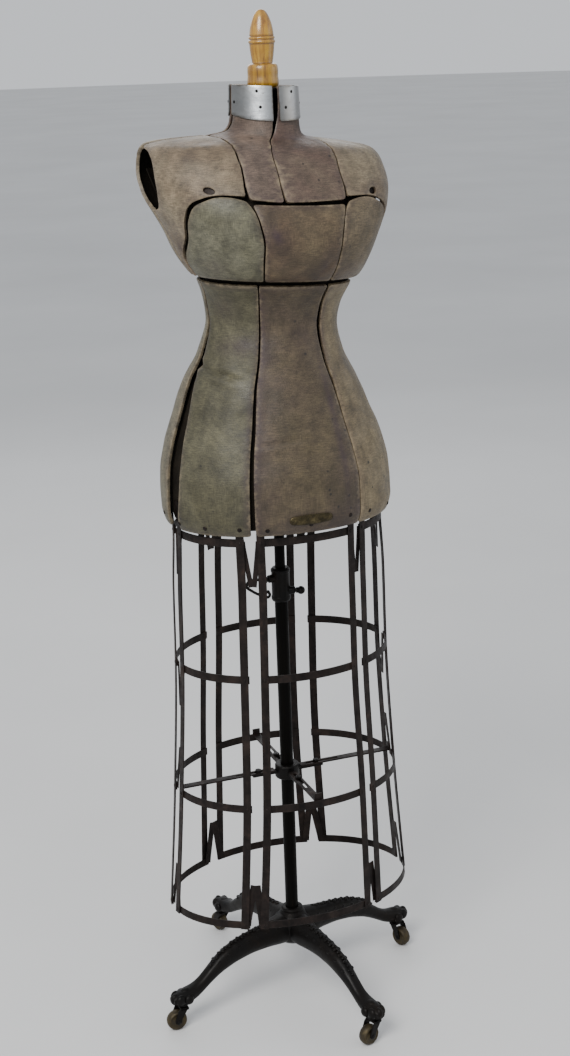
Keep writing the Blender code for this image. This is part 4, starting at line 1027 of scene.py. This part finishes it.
def make_shade_linings_and_straps():
    """Dark strips behind the seams, like the panels' turned-in edges, and dark bands inside the form, both
    standing for painted shade; and the iron adjusting straps behind the slots.
    """
    strips = []
    for name, (seam, _) in HIP_PANELS.items():
        drift = SPRUNG_DRIFT if seam == SPRUNG_SEAM else (0.0,) * 6
        route = [(seam + stray, level) for stray, level in zip(drift[:5], SEAM_LEVELS[:5])]
        route[0] = (route[0][0], HIP_BOTTOM + 0.003)
        route.append((seam, 1.118))
        width = 0.046 if seam == SPRUNG_SEAM else 0.017
        # The deeper a strip sits, the darker its seam reads: a dark sheet standing for painted shade
        depth = SHELL + (0.0090 if seam == SPRUNG_SEAM else 0.0060)
        strips.append((f"seam_shade_lining_{name}", route, width, depth, f"section_{name}"))
    for side, sign in (("left", 1.0), ("right", -1.0)):
        seam = (22.6, BUST_BOTTOM + 0.002), (19.4, 1.2), (16.8, 1.256)
        route = [(sign * angle, level) for angle, level in seam]
        strips.append((f"bust_shade_lining_{side}", route, 0.014, SHELL + 0.0030, "bust_middle"))
        route = [(sign * angle, SLOT[1]) for angle in np.linspace(SLOT[0] - 7.0, SLOT[0] + 7.0, 5)]
        strips.append((f"adjusting_strap_{side}", route, 0.0125, SHELL + 0.0004, f"quarter_front_{side}"))
    # Dark bands behind the waist gap, the chest and the back seam keep light out: dark sheets standing for
    # painted shade
    route = [(angle, WAIST_BAND_LEVEL) for angle in np.linspace(-180.0, 180.0, 90)]
    strips.append(("waist_shade_band", route, 0.024, SHELL + 0.0045, "form"))
    for name, start, end in (("chest_shade_band", -72.0, 72.0), ("shoulder_shade_band", 114.0, 246.0)):
        route = [(angle, CHEST_BAND_LEVEL) for angle in np.linspace(start, end, 40)]
        strips.append((name, route, 0.044, 0.0180, "form"))
    strips.append(("back_shade_band", [(180.0, level) for level in BACK_BAND_LEVELS], 0.056, 0.0150, "form"))
    for name, route, width, lift, body in strips:
        shape = bmesh.new()
        strap_at(shape, route, width, STRIP_WALL, lift, skin=TORSO)
        add_piece(name, shape, "strap_iron" if name.startswith("adjusting") else "papier_mache", body)


def make_tacks():
    """Nails along the hem of each hip panel."""
    for name, (left_seam, right_seam) in HIP_PANELS.items():
        shape = bmesh.new()
        low = left_seam + (16.0 if left_seam == SPRUNG_SEAM else 7.0)
        high = right_seam - (7.0 if right_seam != SPRUNG_SEAM else 2.0)
        count = 3 if name != "back" else 4
        for k in range(count):
            angle = low + (high - low) * k / (count - 1)
            level = 0.8105 + 0.004 * math.sin(angle * 1.9)
            at = TORSO.raised(angle, level, 0.0001)
            tack(shape, at, TORSO.normal(angle, level), 0.0033, 0.0012)
        add_piece(f"hem_tacks_{name}", shape, "strap_iron", f"section_{name}")


# ---- collar, plate and finial


def make_collar():
    """Four bright quarters, each nailed to a neck panel."""
    for end, side in (("front", "left"), ("front", "right"), ("back", "left"), ("back", "right")):
        outline = [(5.6, COLLAR_FRONT), (45.0, COLLAR_FRONT + 0.002), (84.6, COLLAR_SIDE)]
        outline += [(84.6, NECK_TOP), (45.0, NECK_TOP), (5.6, NECK_TOP)]
        nails = [(17.0, 1.4955), (75.5, 1.5010), (31.0, 1.5165)]
        if end == "back":
            outline = [(180.0 - angle, level) for angle, level in outline]
            nails = [(180.0 - angle, level) for angle, level in nails]
        if side == "right":
            outline, nails = mirrored(outline), mirrored(nails)
            nails[0] = (nails[0][0] * (1.5 if end == "front" else 1.0), nails[0][1])
        body = f"quarter_{end}_{side}"
        obj, edge, angle, _ = add_sheet(
            f"collar_{end}_{side}_band", outline, 0.0040, lambda points, *_: np.full(len(points), 0.0014),
            0.0010, NICKEL, edge_step=0.0020, offset=1.0)
        add_attribute(obj.data, "rub", ease(1.0 - edge / 0.0035))
        # Painted highlight bands near -26 and +34 degrees, and painted shade elsewhere, kept in the shade
        # attribute
        bright = np.exp(-(((angle + 26.0) / 17.0) ** 2)) + 0.40 * np.exp(-(((angle - 34.0) / 10.0) ** 2))
        add_attribute(obj.data, "shade", 0.72 - 0.70 * np.clip(bright, 0.0, 1.0))
        bevel(obj, 0.0003, 2, 50.0)
        keep(obj, body, "collar_metal", f"collar_{end}_{side}")
        shape = bmesh.new()
        for at, height in nails:
            tack(shape, TORSO.raised(at, height, 0.0024), TORSO.normal(at, height), 0.0022, 0.0008)
        add_piece(f"collar_tacks_{end}_{side}", shape, "black_iron", body)


def make_plate():
    """Blank plate with a raised rim and two pins."""
    end, level, half_angle, half_level = PLATE
    outline = oval(-end, level, half_angle, half_level, 7, start=90.0, sweep=180.0)
    outline += oval(end, level, half_angle, half_level, 7, start=-90.0, sweep=180.0)
    obj = add_sheet(
        "name_plate_blank", outline, 0.0022,
        lambda points, edge, *_: 0.0014 + 0.0006 * ease(1.0 - np.abs(edge - 0.0008) / 0.0009),
        0.0006, PLATE_METAL, edge_step=0.0012)[0]
    keep(obj, "section_front", "plate_brass", "name_plate")
    shape = bmesh.new()
    for at in (-end - 0.9, end + 0.9):
        tack(shape, TORSO.raised(at, level, 0.0013), TORSO.normal(at, level), 0.0012, 0.0007)
    add_piece("name_plate_pins", shape, "plate_brass", "section_front")


NECK_PLATE_TOP = 1.4080
# Finial: (radius, height over the neck plate), top to bottom
FINIAL_TIP = (
    (0.0, 0.1040), (0.0042, 0.1030), (0.0085, 0.0985),
    (0.0125, 0.0903), (0.0156, 0.0795), (0.0170, 0.0690))
FINIAL_BEADS = (
    (0.0166, 0.0683), (0.0179, 0.0672), (0.0182, 0.0655), (0.0172, 0.0638),
    (0.0184, 0.0622), (0.0187, 0.0603), (0.0178, 0.0588), (0.0174, 0.0580))
FINIAL_WAIST = (
    (0.0173, 0.0568), (0.0164, 0.0470), (0.0152, 0.0385),
    (0.0146, 0.0338), (0.0150, 0.0322), (0.0160, 0.0318))
FINIAL_FOOT = (
    (0.0190, 0.0312), (0.0206, 0.0292), (0.0213, 0.0262),
    (0.0213, 0.0160), (0.0211, 0.0020), (0.0200, 0.0004))
FINIAL_GROOVES = (0.0684, 0.0638, 0.0582, 0.0322)


def make_finial():
    profile = curve_profile(FINIAL_TIP, 18)[:-1] + list(FINIAL_TIP[-1:]) + curve_profile(FINIAL_BEADS, 26)
    profile += curve_profile(FINIAL_WAIST, 18) + curve_profile(FINIAL_FOOT, 16)
    profile += [(0.0042, 0.0004), (0.0042, -0.0150), (0.0, -0.0150)]
    profile = [(r, z + NECK_PLATE_TOP) for r, z in profile]
    obj = add_piece("finial_turning", spun(profile, 56), "turned_wood", "finial", "finial", smooth=50.0)
    heights = np.array([v.co.z for v in obj.data.vertices]) - NECK_PLATE_TOP
    # Painted shade: a dark ring at each turned groove
    groove = np.zeros(len(heights))
    for at in FINIAL_GROOVES:
        groove = np.maximum(groove, 0.8 * np.exp(-(((heights - at) / 0.0008) ** 2)))
    add_attribute(obj.data, "groove", groove)


# ---- skirt cage


def strap_at(shape, route, width, wall, lift, count=0, skin=SKIRT):
    """Adds a strap along (angle, level) points; its outer face lies the lift inside the surface."""
    route = np.array(route, float)
    along = np.r_[0.0, np.cumsum(np.linalg.norm(np.diff(flat(route), axis=0), axis=1))]
    count = count or max(2, round(along[-1] / 0.010))
    at = np.linspace(0.0, along[-1], count + 1)
    angle, level = np.interp(at, along, route[:, 0]), np.interp(at, along, route[:, 1])
    out = skin.normal(angle, level)
    centre = skin.raised(angle, level, np.full(len(at), -lift - wall / 2))
    way = np.gradient(centre, axis=0)
    up = np.cross(way, out)
    up /= np.linalg.norm(up, axis=1, keepdims=True)
    sweep(shape, centre, up, out, width, wall)


def rivet_at(shape, angle, level, lift=0.0, radius=0.0026):
    tack(shape, SKIRT.raised(angle, level, 0.0001 - lift), SKIRT.normal(angle, level), radius, 0.0010)


# Straps stray a little from the seams: degrees at the hem and at the top hoop, and half the pair's gap
STRAY = {-FRONT_SEAM: (-4.0, -2.6, 0.0150), FRONT_SEAM: (1.6, 2.2, 0.0120)}


def strayed(seam, level):
    """Where a pair of straps stands, and its offset from there."""
    low, high, offset = STRAY.get(seam, (0.0, 0.0, UPRIGHT_OFFSET))
    return seam + float(np.interp(level, (HEM_Z, TOP_HOOP_Z), (low, high))), offset


def upright_angle(seam, side, level):
    middle, offset = strayed(seam, level)
    return middle + side * SKIRT.degrees_of(middle, level, offset)


HOOP_LEVELS = (HEM_Z, LOWER_HOOP_Z, MIDDLE_HOOP_Z, TOP_HOOP_Z)
LAP_GAP = 0.0002
ARC_LIFT = STRAP_WALL + LAP_GAP


def make_frame(name, left_seam, right_seam):
    """The two uprights of a section and the hoop arcs lapped behind them."""
    body = f"section_{name}"
    shape = bmesh.new()
    for seam, side in ((left_seam, 1.0), (right_seam, -1.0)):
        levels = np.linspace(HEM_Z - STRAP / 2, UPRIGHT_TOP, 44)
        route = [(upright_angle(seam, side, level), level) for level in levels]
        strap_at(shape, route, STRAP, STRAP_WALL, 0.0, 60)
        for level in HOOP_LEVELS:
            rivet_at(shape, upright_angle(seam, side, level), level)
    add_piece(f"uprights_{name}", shape, "strap_iron", body, f"skirt_frame_{name}")
    shape = bmesh.new()
    for level in HOOP_LEVELS:
        start = upright_angle(left_seam, 1.0, level)
        end = upright_angle(right_seam, -1.0, level)
        lap = SKIRT.degrees_of(left_seam, level, STRAP * 0.5)
        strap_at(shape, [(start - lap, level), (end + lap, level)], STRAP, STRAP_WALL, ARC_LIFT)
    add_piece(f"hoop_arcs_{name}", shape, "strap_iron", body)


def link_leg(name, seam, side, level, way, width):
    """Half of a V spring: from its tip, which stays with the form, to the section's upright."""
    deep = way * SPRING_DEPTH
    seam, offset = strayed(seam, level)
    near = SKIRT.degrees_of(seam, level, offset - STRAP * 0.30)
    tip = SKIRT.degrees_of(seam, level + deep, 0.0022)
    foot = (seam + side * near, level - way * 0.002)
    route = [(seam + side * tip, level + deep), (seam + side * (0.5 * near + 0.5 * tip), level + deep * 0.52)]
    route += [(seam + side * near * 0.94, level + deep * 0.10), foot]
    shape = bmesh.new()
    strap_at(shape, route, width, SPRING_WALL, ARC_LIFT + STRAP_WALL + LAP_GAP, 14)
    rivet_at(shape, *foot, ARC_LIFT + STRAP_WALL, 0.0022)
    obj = from_bmesh(name, shape, STRAPS)
    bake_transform(obj)
    return obj


def make_skirt():
    """Six frames and their V springs; the springs that stand for a CAD node replace it."""
    springs = (
        ("top", TOP_HOOP_Z, -1.0, LINK_STRAP * 0.86),
        ("hem", HEM_Z, 1.0, LINK_STRAP * 1.25),
        ("middle", MIDDLE_HOOP_Z, -1.0, LINK_STRAP),
        ("lower", LOWER_HOOP_Z, 1.0, LINK_STRAP),
    )
    for name, seams in HIP_PANELS.items():
        make_frame(name, *seams)
        for seam, side in ((seams[0], 1.0), (seams[1], -1.0)):
            edge = "start" if side > 0 else "end"
            hand = "left" if seam > 0 else "right"
            for kind, level, way, width in springs:
                whole = kind in ("top", "hem")
                if not whole and abs(abs(seam) - SIDE_SEAM) > 1.0:
                    continue
                leg = link_leg(f"{kind}_spring_{name}_{edge}", seam, side, level, way, width)
                if whole and name == "front":
                    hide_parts(f"{kind}_hoop")
                elif not whole and name.startswith("front"):
                    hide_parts(f"{kind}_link_{hand}")


# ---- pole, collar and inner frame

POLE_RADIUS = 0.0100
POLE_TOP = 0.700
POLE_BOTTOM = 0.092
MAST_RADIUS = 0.0078
MAST_BOTTOM = 0.400
MAST_TOP = 1.3870
SCREW_WAY = Vector((math.sin(math.radians(-80.0)), -math.cos(math.radians(-80.0)), 0.0))
SCREW_Z = 0.693
KNOB_WAY = Vector((math.sin(math.radians(62.0)), -math.cos(math.radians(62.0)), 0.0))
KNOB_Z = 0.672
SCREW_TIP = POLE_RADIUS + 0.0008


def make_pole():
    wall = POLE_RADIUS - 0.0016
    tube = [(wall, POLE_TOP), (POLE_RADIUS - 0.0006, POLE_TOP), (POLE_RADIUS, POLE_TOP - 0.0006)]
    tube += [(POLE_RADIUS, POLE_BOTTOM), (wall, POLE_BOTTOM)]
    add_piece("pole_tube", spun(tube, 40), "tube_steel", "stand", "pole")
    rod = [(0.0, MAST_TOP), (MAST_RADIUS - 0.001, MAST_TOP), (MAST_RADIUS, MAST_TOP - 0.001)]
    rod += [(MAST_RADIUS, MAST_BOTTOM), (0.0, MAST_BOTTOM)]
    add_piece("mast_rod", spun(rod, 36), "tube_steel", "mast", "mast")


def make_height_collar():
    bore = MAST_RADIUS + 0.0006
    outer = [(bore, 0.7085), (0.0120, 0.7085), (0.0134, 0.7066), (0.0146, 0.7055), (0.0146, 0.7020)]
    outer += [(0.0138, 0.7008), (0.0138, 0.6640), (0.0146, 0.6628), (0.0146, 0.6590), (0.0132, 0.6560)]
    outer += [(0.0104, 0.6560), (0.0104, 0.7004), (bore, 0.7004)]
    shape = spun(rounded_profile(outer, 0.0006), 40)
    for way, height in ((SCREW_WAY, SCREW_Z), (KNOB_WAY, KNOB_Z)):
        at = UP * height
        add_rod(shape, at + way * 0.0125, at + way * 0.0208, 0.0064, 0.0058, 24)
        add_rod(shape, at + way * 0.0208, at + way * 0.0218, 0.0058, 0.0046, 24)
    add_piece("height_collar_casting", shape, "black_iron", "stand", "height_collar")


def make_screws():
    """The clamp screw's bent handle and the ball-headed guide screw."""
    way, at = SCREW_WAY, UP * SCREW_Z
    across = way.cross(UP).normalized()
    shape = bmesh.new()
    add_rod(shape, at + way * SCREW_TIP, at + way * 0.0290, 0.0030, sides=16)
    add_rod(shape, at + way * 0.0255, at + way * 0.0330, 0.0052, 0.0046)
    tilt = (across * 0.35 + UP * 0.94).normalized()
    start = at + way * 0.0335
    route = ((-0.004, 0.0), (0.011, 0.003), (0.023, 0.001), (0.026, -0.004), (0.018, -0.013), (0.008, -0.020))
    route += ((-0.001, -0.025), (-0.007, -0.0262), (-0.0095, -0.0225), (-0.0075, -0.0185))
    bend = [start + way * along + tilt * rise for along, rise in curve_profile(route, 44)]
    tube_along(shape, bend, 0.0022)
    add_ball(shape, bend[-1], (0.0028,) * 3)
    add_piece("height_screw_handle", shape, "black_iron", "height_screw", "height_screw")
    way, at = KNOB_WAY, UP * KNOB_Z
    shape = bmesh.new()
    add_rod(shape, at + way * SCREW_TIP, at + way * 0.0270, 0.0030, sides=16)
    add_rod(shape, at + way * 0.0232, at + way * 0.0256, 0.0044)
    add_ball(shape, at + way * 0.0305, (0.0062,) * 3, 24, 14)
    add_piece("guide_screw_knob", shape, "black_iron", "guide_screw", "guide_screw")


def make_neck_plate():
    plate = [(0.0048, NECK_PLATE_TOP), (0.0380, NECK_PLATE_TOP), (0.0380, NECK_PLATE_TOP - 0.003)]
    plate += [(0.0140, NECK_PLATE_TOP - 0.003), (0.0140, 1.3670), (MAST_RADIUS + 0.0006, 1.3670)]
    plate += [(MAST_RADIUS + 0.0006, MAST_TOP + 0.001), (0.0048, MAST_TOP + 0.001)]
    shape = spun(rounded_profile(plate, 0.0006), 56)
    add_piece("neck_plate_disc", shape, "black_iron", "form", "neck_plate")


def dress_cad_nodes():
    """The inner crosses and the spider keep their shape and take a finished material."""
    for row in frame["record"]["subparts"]:
        node = frame["nodes"][row["node"]]
        if row["material_slot"] in ("strap_iron", "black_iron") and not node.hide_render:
            node.data.materials.clear()
            node.data.materials.append(SLOTS[row["material_slot"]])


# ---- base and casters

LEG_TURN = 14.0
# Leg stations: distance from the axis, centre height, half width, half height.
# They are fuller at the hub than the CAD leg's.
LEG = (
    (0.008, 0.1080, 0.0215, 0.0250),
    (0.028, 0.1060, 0.0205, 0.0225),
    (0.052, 0.1050, 0.0165, 0.0195),
    (0.082, 0.1035, 0.0140, 0.0180),
    (0.112, 0.0985, 0.0132, 0.0172),
    (0.140, 0.0885, 0.0122, 0.0155),
    (0.162, 0.0735, 0.0105, 0.0125),
    (0.180, 0.0600, 0.0105, 0.0110),
    (0.194, 0.0545, 0.0125, 0.0115),
    (0.208, 0.0535, 0.0135, 0.0115),
    (0.221, 0.0525, 0.0115, 0.0095),
    (0.229, 0.0520, 0.0075, 0.0060),
)
LEG_SIDES = 22
LEG_RINGS = 74
BEAD_START = 0.040
BEAD_END = 0.158
BEADS = 21
FOOT_RADIUS = 0.2110
FOOT_Z = 0.0405
# Toes of a foot: distance from the axis, sideways, height, half sizes
TOES = (
    (0.2235, 0.0000, 0.0535, 0.0080, 0.0058, 0.0088),
    (0.2180, 0.0085, 0.0530, 0.0085, 0.0060, 0.0088),
    (0.2180, -0.0085, 0.0530, 0.0085, 0.0060, 0.0088),
    (0.2060, 0.0125, 0.0520, 0.0080, 0.0056, 0.0080),
    (0.2060, -0.0125, 0.0520, 0.0080, 0.0056, 0.0080),
    (0.2040, 0.0000, 0.0600, 0.0110, 0.0080, 0.0065),
)


def leg_section(distance):
    """Centre height, half width and half height of a leg."""
    return [float(np.interp(distance, *np.array(LEG)[:, [0, k]].T)) for k in (1, 2, 3)]


def smooth_legs():
    """The leg's stations, smoothed along it."""
    reach = np.linspace(LEG[0][0], LEG[-1][0], LEG_RINGS)
    rows = np.array([leg_section(d) for d in reach])
    for _ in range(10):
        rows[1:-1] = (rows[:-2] + 2 * rows[1:-1] + rows[2:]) / 4
    return reach, rows


def make_leg(angle):
    """Cabriole leg with a rope-beaded ridge, side scrolls in low relief and a clawed foot."""
    shape = bmesh.new()
    rings = []
    for distance, (height, half_width, half_height) in zip(*smooth_legs()):
        carved = float(ease((distance - 0.03) / 0.02) * ease((0.178 - distance) / 0.02))
        depth = 0.075 * (0.6 + 0.4 * math.sin(distance * 330.0))
        ring = []
        for k in range(LEG_SIDES):
            turn = 2 * math.pi * (k + 0.5) / LEG_SIDES
            c, s = math.cos(turn), math.sin(turn)
            x = half_width * math.copysign(abs(c) ** 0.85, c)
            z = half_height * math.copysign(abs(s) ** 0.85, s)
            groove = 1.0 - depth * carved * max(0.0, s) * (0.5 + 0.5 * math.cos(9.0 * turn))
            ring.append(shape.verts.new((x * groove, -distance, height + z * groove)))
        rings.append(ring)
    join_rings(shape, rings)
    for k in range(BEADS):
        distance = BEAD_START + (BEAD_END - BEAD_START) * k / (BEADS - 1)
        height, half_width, half_height = leg_section(distance)
        swell = 0.75 + 0.25 * math.sin(math.pi * k / (BEADS - 1))
        at = (0.0012 * (-1) ** k, -distance, height + half_height * 0.97)
        add_ball(shape, at, (0.0048 * swell, 0.0033, 0.0030 * swell), 12, 8)
        if k % 3 == 0:
            for side in (-1.0, 1.0):
                at = (side * half_width * 0.78, -distance, height + half_height * 0.55)
                add_ball(shape, at, (0.0020, 0.0046 * swell, 0.0028), 10, 6)
    for distance, aside, height, long, wide, high in TOES:
        add_ball(shape, (aside, -distance, height), (wide, long, high))
    sole = Vector((0.0, -FOOT_RADIUS, FOOT_Z))
    add_rod(shape, sole, sole + UP * 0.012, 0.0092, 0.0100, 24)
    return turned(shape, angle, "Z")


# Hub profile, top to bottom
HUB = (
    (0.0107, 0.1400), (0.0145, 0.1400), (0.0168, 0.1388), (0.0178, 0.1368), (0.0168, 0.1342),
    (0.0188, 0.1325), (0.0205, 0.1300), (0.0228, 0.1262), (0.0268, 0.1230), (0.0296, 0.1180),
    (0.0300, 0.1100), (0.0298, 0.1000), (0.0262, 0.0885), (0.0200, 0.0822), (0.0107, 0.0822))


def make_base():
    """One casting, joined from the hub and its legs."""
    joined = bmesh.new()
    for k, part in enumerate([spun(HUB, 64)] + [make_leg(LEG_TURN + 90.0 * k) for k in range(4)]):
        mesh = bpy.data.meshes.new(f"casting_{k}")
        bmesh.ops.recalc_face_normals(part, faces=part.faces)
        part.to_mesh(mesh)
        part.free()
        joined.from_mesh(mesh)
    add_piece("base_casting", joined, "black_iron", "stand", "base", smooth=55.0)


WHEEL_RADIUS = 0.016
WHEEL_WIDTH = 0.015
WHEEL_TRAIL = 0.011
# Degrees by which each caster, which trails towards -Y, is turned about Z
TRAIL_HEADINGS = (290.0, 20.0, 200.0, 272.0)


def fork_shape():
    """Stem, collar, arched crown, two cheeks and the riveted axle of a caster that trails towards -Y."""
    shape = bmesh.new()
    half = WHEEL_WIDTH / 2 + 0.0009
    cheek = 0.0011
    crown = FOOT_Z - 0.0016
    add_rod(shape, (0, 0, FOOT_Z - 0.004), (0, 0, FOOT_Z + 0.012), 0.0034, sides=18)
    add_rod(shape, (0, 0, FOOT_Z - 0.0022), (0, 0, FOOT_Z - 0.0004), 0.0068, 0.0060, 24)
    outline = [
        (0.0066, crown),
        (-0.0060, crown),
        (-0.0105, FOOT_Z - 0.0062),
        (-WHEEL_TRAIL - 0.0052, WHEEL_RADIUS + 0.0040),
        (-WHEEL_TRAIL - 0.0048, WHEEL_RADIUS - 0.0020),
        (-WHEEL_TRAIL, WHEEL_RADIUS - 0.0050),
        (-WHEEL_TRAIL + 0.0048, WHEEL_RADIUS - 0.0020),
        (-WHEEL_TRAIL + 0.0064, WHEEL_RADIUS + 0.0050),
    ]
    for side in (-1.0, 1.0):
        x = side * (half + cheek)
        ends = [[shape.verts.new((x + t, y, z)) for y, z in outline] for t in (-cheek, cheek)]
        join_rings(shape, ends)
    outer = half + 2 * cheek
    add_box(shape, (-outer, -0.0066, FOOT_Z - 0.0058), (outer, 0.0066, crown))
    ends = [(side * (outer + 0.0008), -WHEEL_TRAIL, WHEEL_RADIUS) for side in (-1.0, 1.0)]
    add_rod(shape, *ends, 0.0022)
    for side in (-1.0, 1.0):
        tack(shape, (side * outer, -WHEEL_TRAIL, WHEEL_RADIUS), (side, 0, 0), 0.0036, 0.0013)
    return shape


def wheel_shape():
    """Barrel tread, turned about X, with a raised rib at its middle and dished sides."""
    half = WHEEL_WIDTH / 2
    bore = 0.0026
    side = [(bore, half - 0.0006), (0.0048, half), (0.0062, half - 0.0008), (0.0108, half - 0.0012)]
    tread = [(0.0128, half - 0.0002), (0.0140, half - 0.0008), (0.0151, half - 0.0024)]
    tread += [(0.01565, 0.0026), (0.0160, 0.0012)]
    profile = side + tread + [(r, -z) for r, z in reversed(side + tread)]
    shape = turned(spun(profile), 90.0, "Y")
    bmesh.ops.translate(shape, vec=(0.0, -WHEEL_TRAIL, WHEEL_RADIUS), verts=shape.verts)
    return shape


def make_casters():
    for k, heading in enumerate(TRAIL_HEADINGS):
        number = k + 1
        turn = math.radians(LEG_TURN + 90.0 * k)
        foot = Vector((FOOT_RADIUS * math.sin(turn), -FOOT_RADIUS * math.cos(turn), 0.0))
        pieces = (
            (fork_shape(), "fork", "black_iron", f"caster_{number}"),
            (wheel_shape(), "tread", "caster_brass", f"wheel_{number}"),
        )
        for shape, kind, slot, body in pieces:
            turned(shape, heading, "Z")
            bmesh.ops.translate(shape, vec=foot, verts=shape.verts)
            node = f"caster_{'fork' if kind == 'fork' else 'wheel'}_{number}"
            obj = add_piece(f"caster_{number}_{kind}", shape, slot, body, node)
            if slot == "black_iron":
                bevel(obj, 0.0005)


# ---- camera, light and floor

CAMERA_PLACE = Vector((-0.8601, -2.3474, 1.5062))
CAMERA_TURN = -20.32
CAMERA_PITCH = -16.93
CAMERA_ROLL = -1.95
CAMERA_LENS = 59.42
CAMERA_RISE = 0.0145


def make_camera():
    turn, pitch, roll = (math.radians(a) for a in (CAMERA_TURN, CAMERA_PITCH, CAMERA_ROLL))
    ahead = Vector((-math.sin(turn) * math.cos(pitch), math.cos(turn) * math.cos(pitch), math.sin(pitch)))
    right = Vector((math.cos(turn), math.sin(turn), 0.0))
    up = right.cross(ahead)
    across = right * math.cos(roll) + up * math.sin(roll)
    upward = up * math.cos(roll) - right * math.sin(roll)
    camera = bpy.data.objects.new("camera", bpy.data.cameras.new("camera"))
    camera.data.sensor_width = 36.0
    camera.data.lens = CAMERA_LENS
    camera.data.shift_y = CAMERA_RISE
    camera.data.clip_end = 200.0
    facing = Matrix((across, upward, -ahead)).transposed().to_4x4()
    camera.matrix_world = Matrix.Translation(CAMERA_PLACE) @ facing
    bpy.context.scene.collection.objects.link(camera)
    bpy.context.scene.camera = camera


def soft_light(name, place, target, size, power, colour=(1.0, 1.0, 1.0)):
    light = bpy.data.lights.new(name, "AREA")
    light.shape = "RECTANGLE"
    light.size, light.size_y = size
    light.energy = power
    light.color = colour
    obj = bpy.data.objects.new(name, light)
    obj.location = place
    obj.rotation_euler = (Vector(target) - Vector(place)).to_track_quat("-Z", "Y").to_euler()
    bpy.context.scene.collection.objects.link(obj)


def make_stage():
    shape = bmesh.new()
    bmesh.ops.create_circle(shape, cap_ends=True, segments=96, radius=40.0)
    n = Nodes("floor_cloth")
    n.set(Base_Color=n.ramp(n.noise(0.8, 4.0), (0.3, 0.60), (0.7, 0.66)), Roughness=0.9)
    floor = from_bmesh("floor", shape, n.material, smooth=0)
    world = bpy.data.worlds.new("studio")
    world.use_nodes = True
    back = world.node_tree.nodes["Background"]
    back.inputs["Color"].default_value = (0.86, 0.89, 0.93, 1.0)
    back.inputs["Strength"].default_value = 0.86
    bpy.context.scene.world = world
    soft_light("window", (-2.2, -2.2, 3.4), (0.0, 0.0, 1.05), (1.8, 2.0), 175.0, (1.0, 0.985, 0.955))
    soft_light("bounce", (2.8, -1.2, 1.3), (0.0, 0.0, 0.8), (1.6, 2.4), 14.0, (1.0, 0.96, 0.90))
    soft_light("back", (0.6, 3.2, 2.6), (0.0, 0.0, 0.9), (2.6, 1.6), 30.0)


make_camera()
make_torso()
make_shade_linings_and_straps()
make_tacks()
make_collar()
make_plate()
make_finial()
make_skirt()
make_pole()
make_height_collar()
make_screws()
make_neck_plate()
make_base()
make_casters()
dress_cad_nodes()
make_stage()
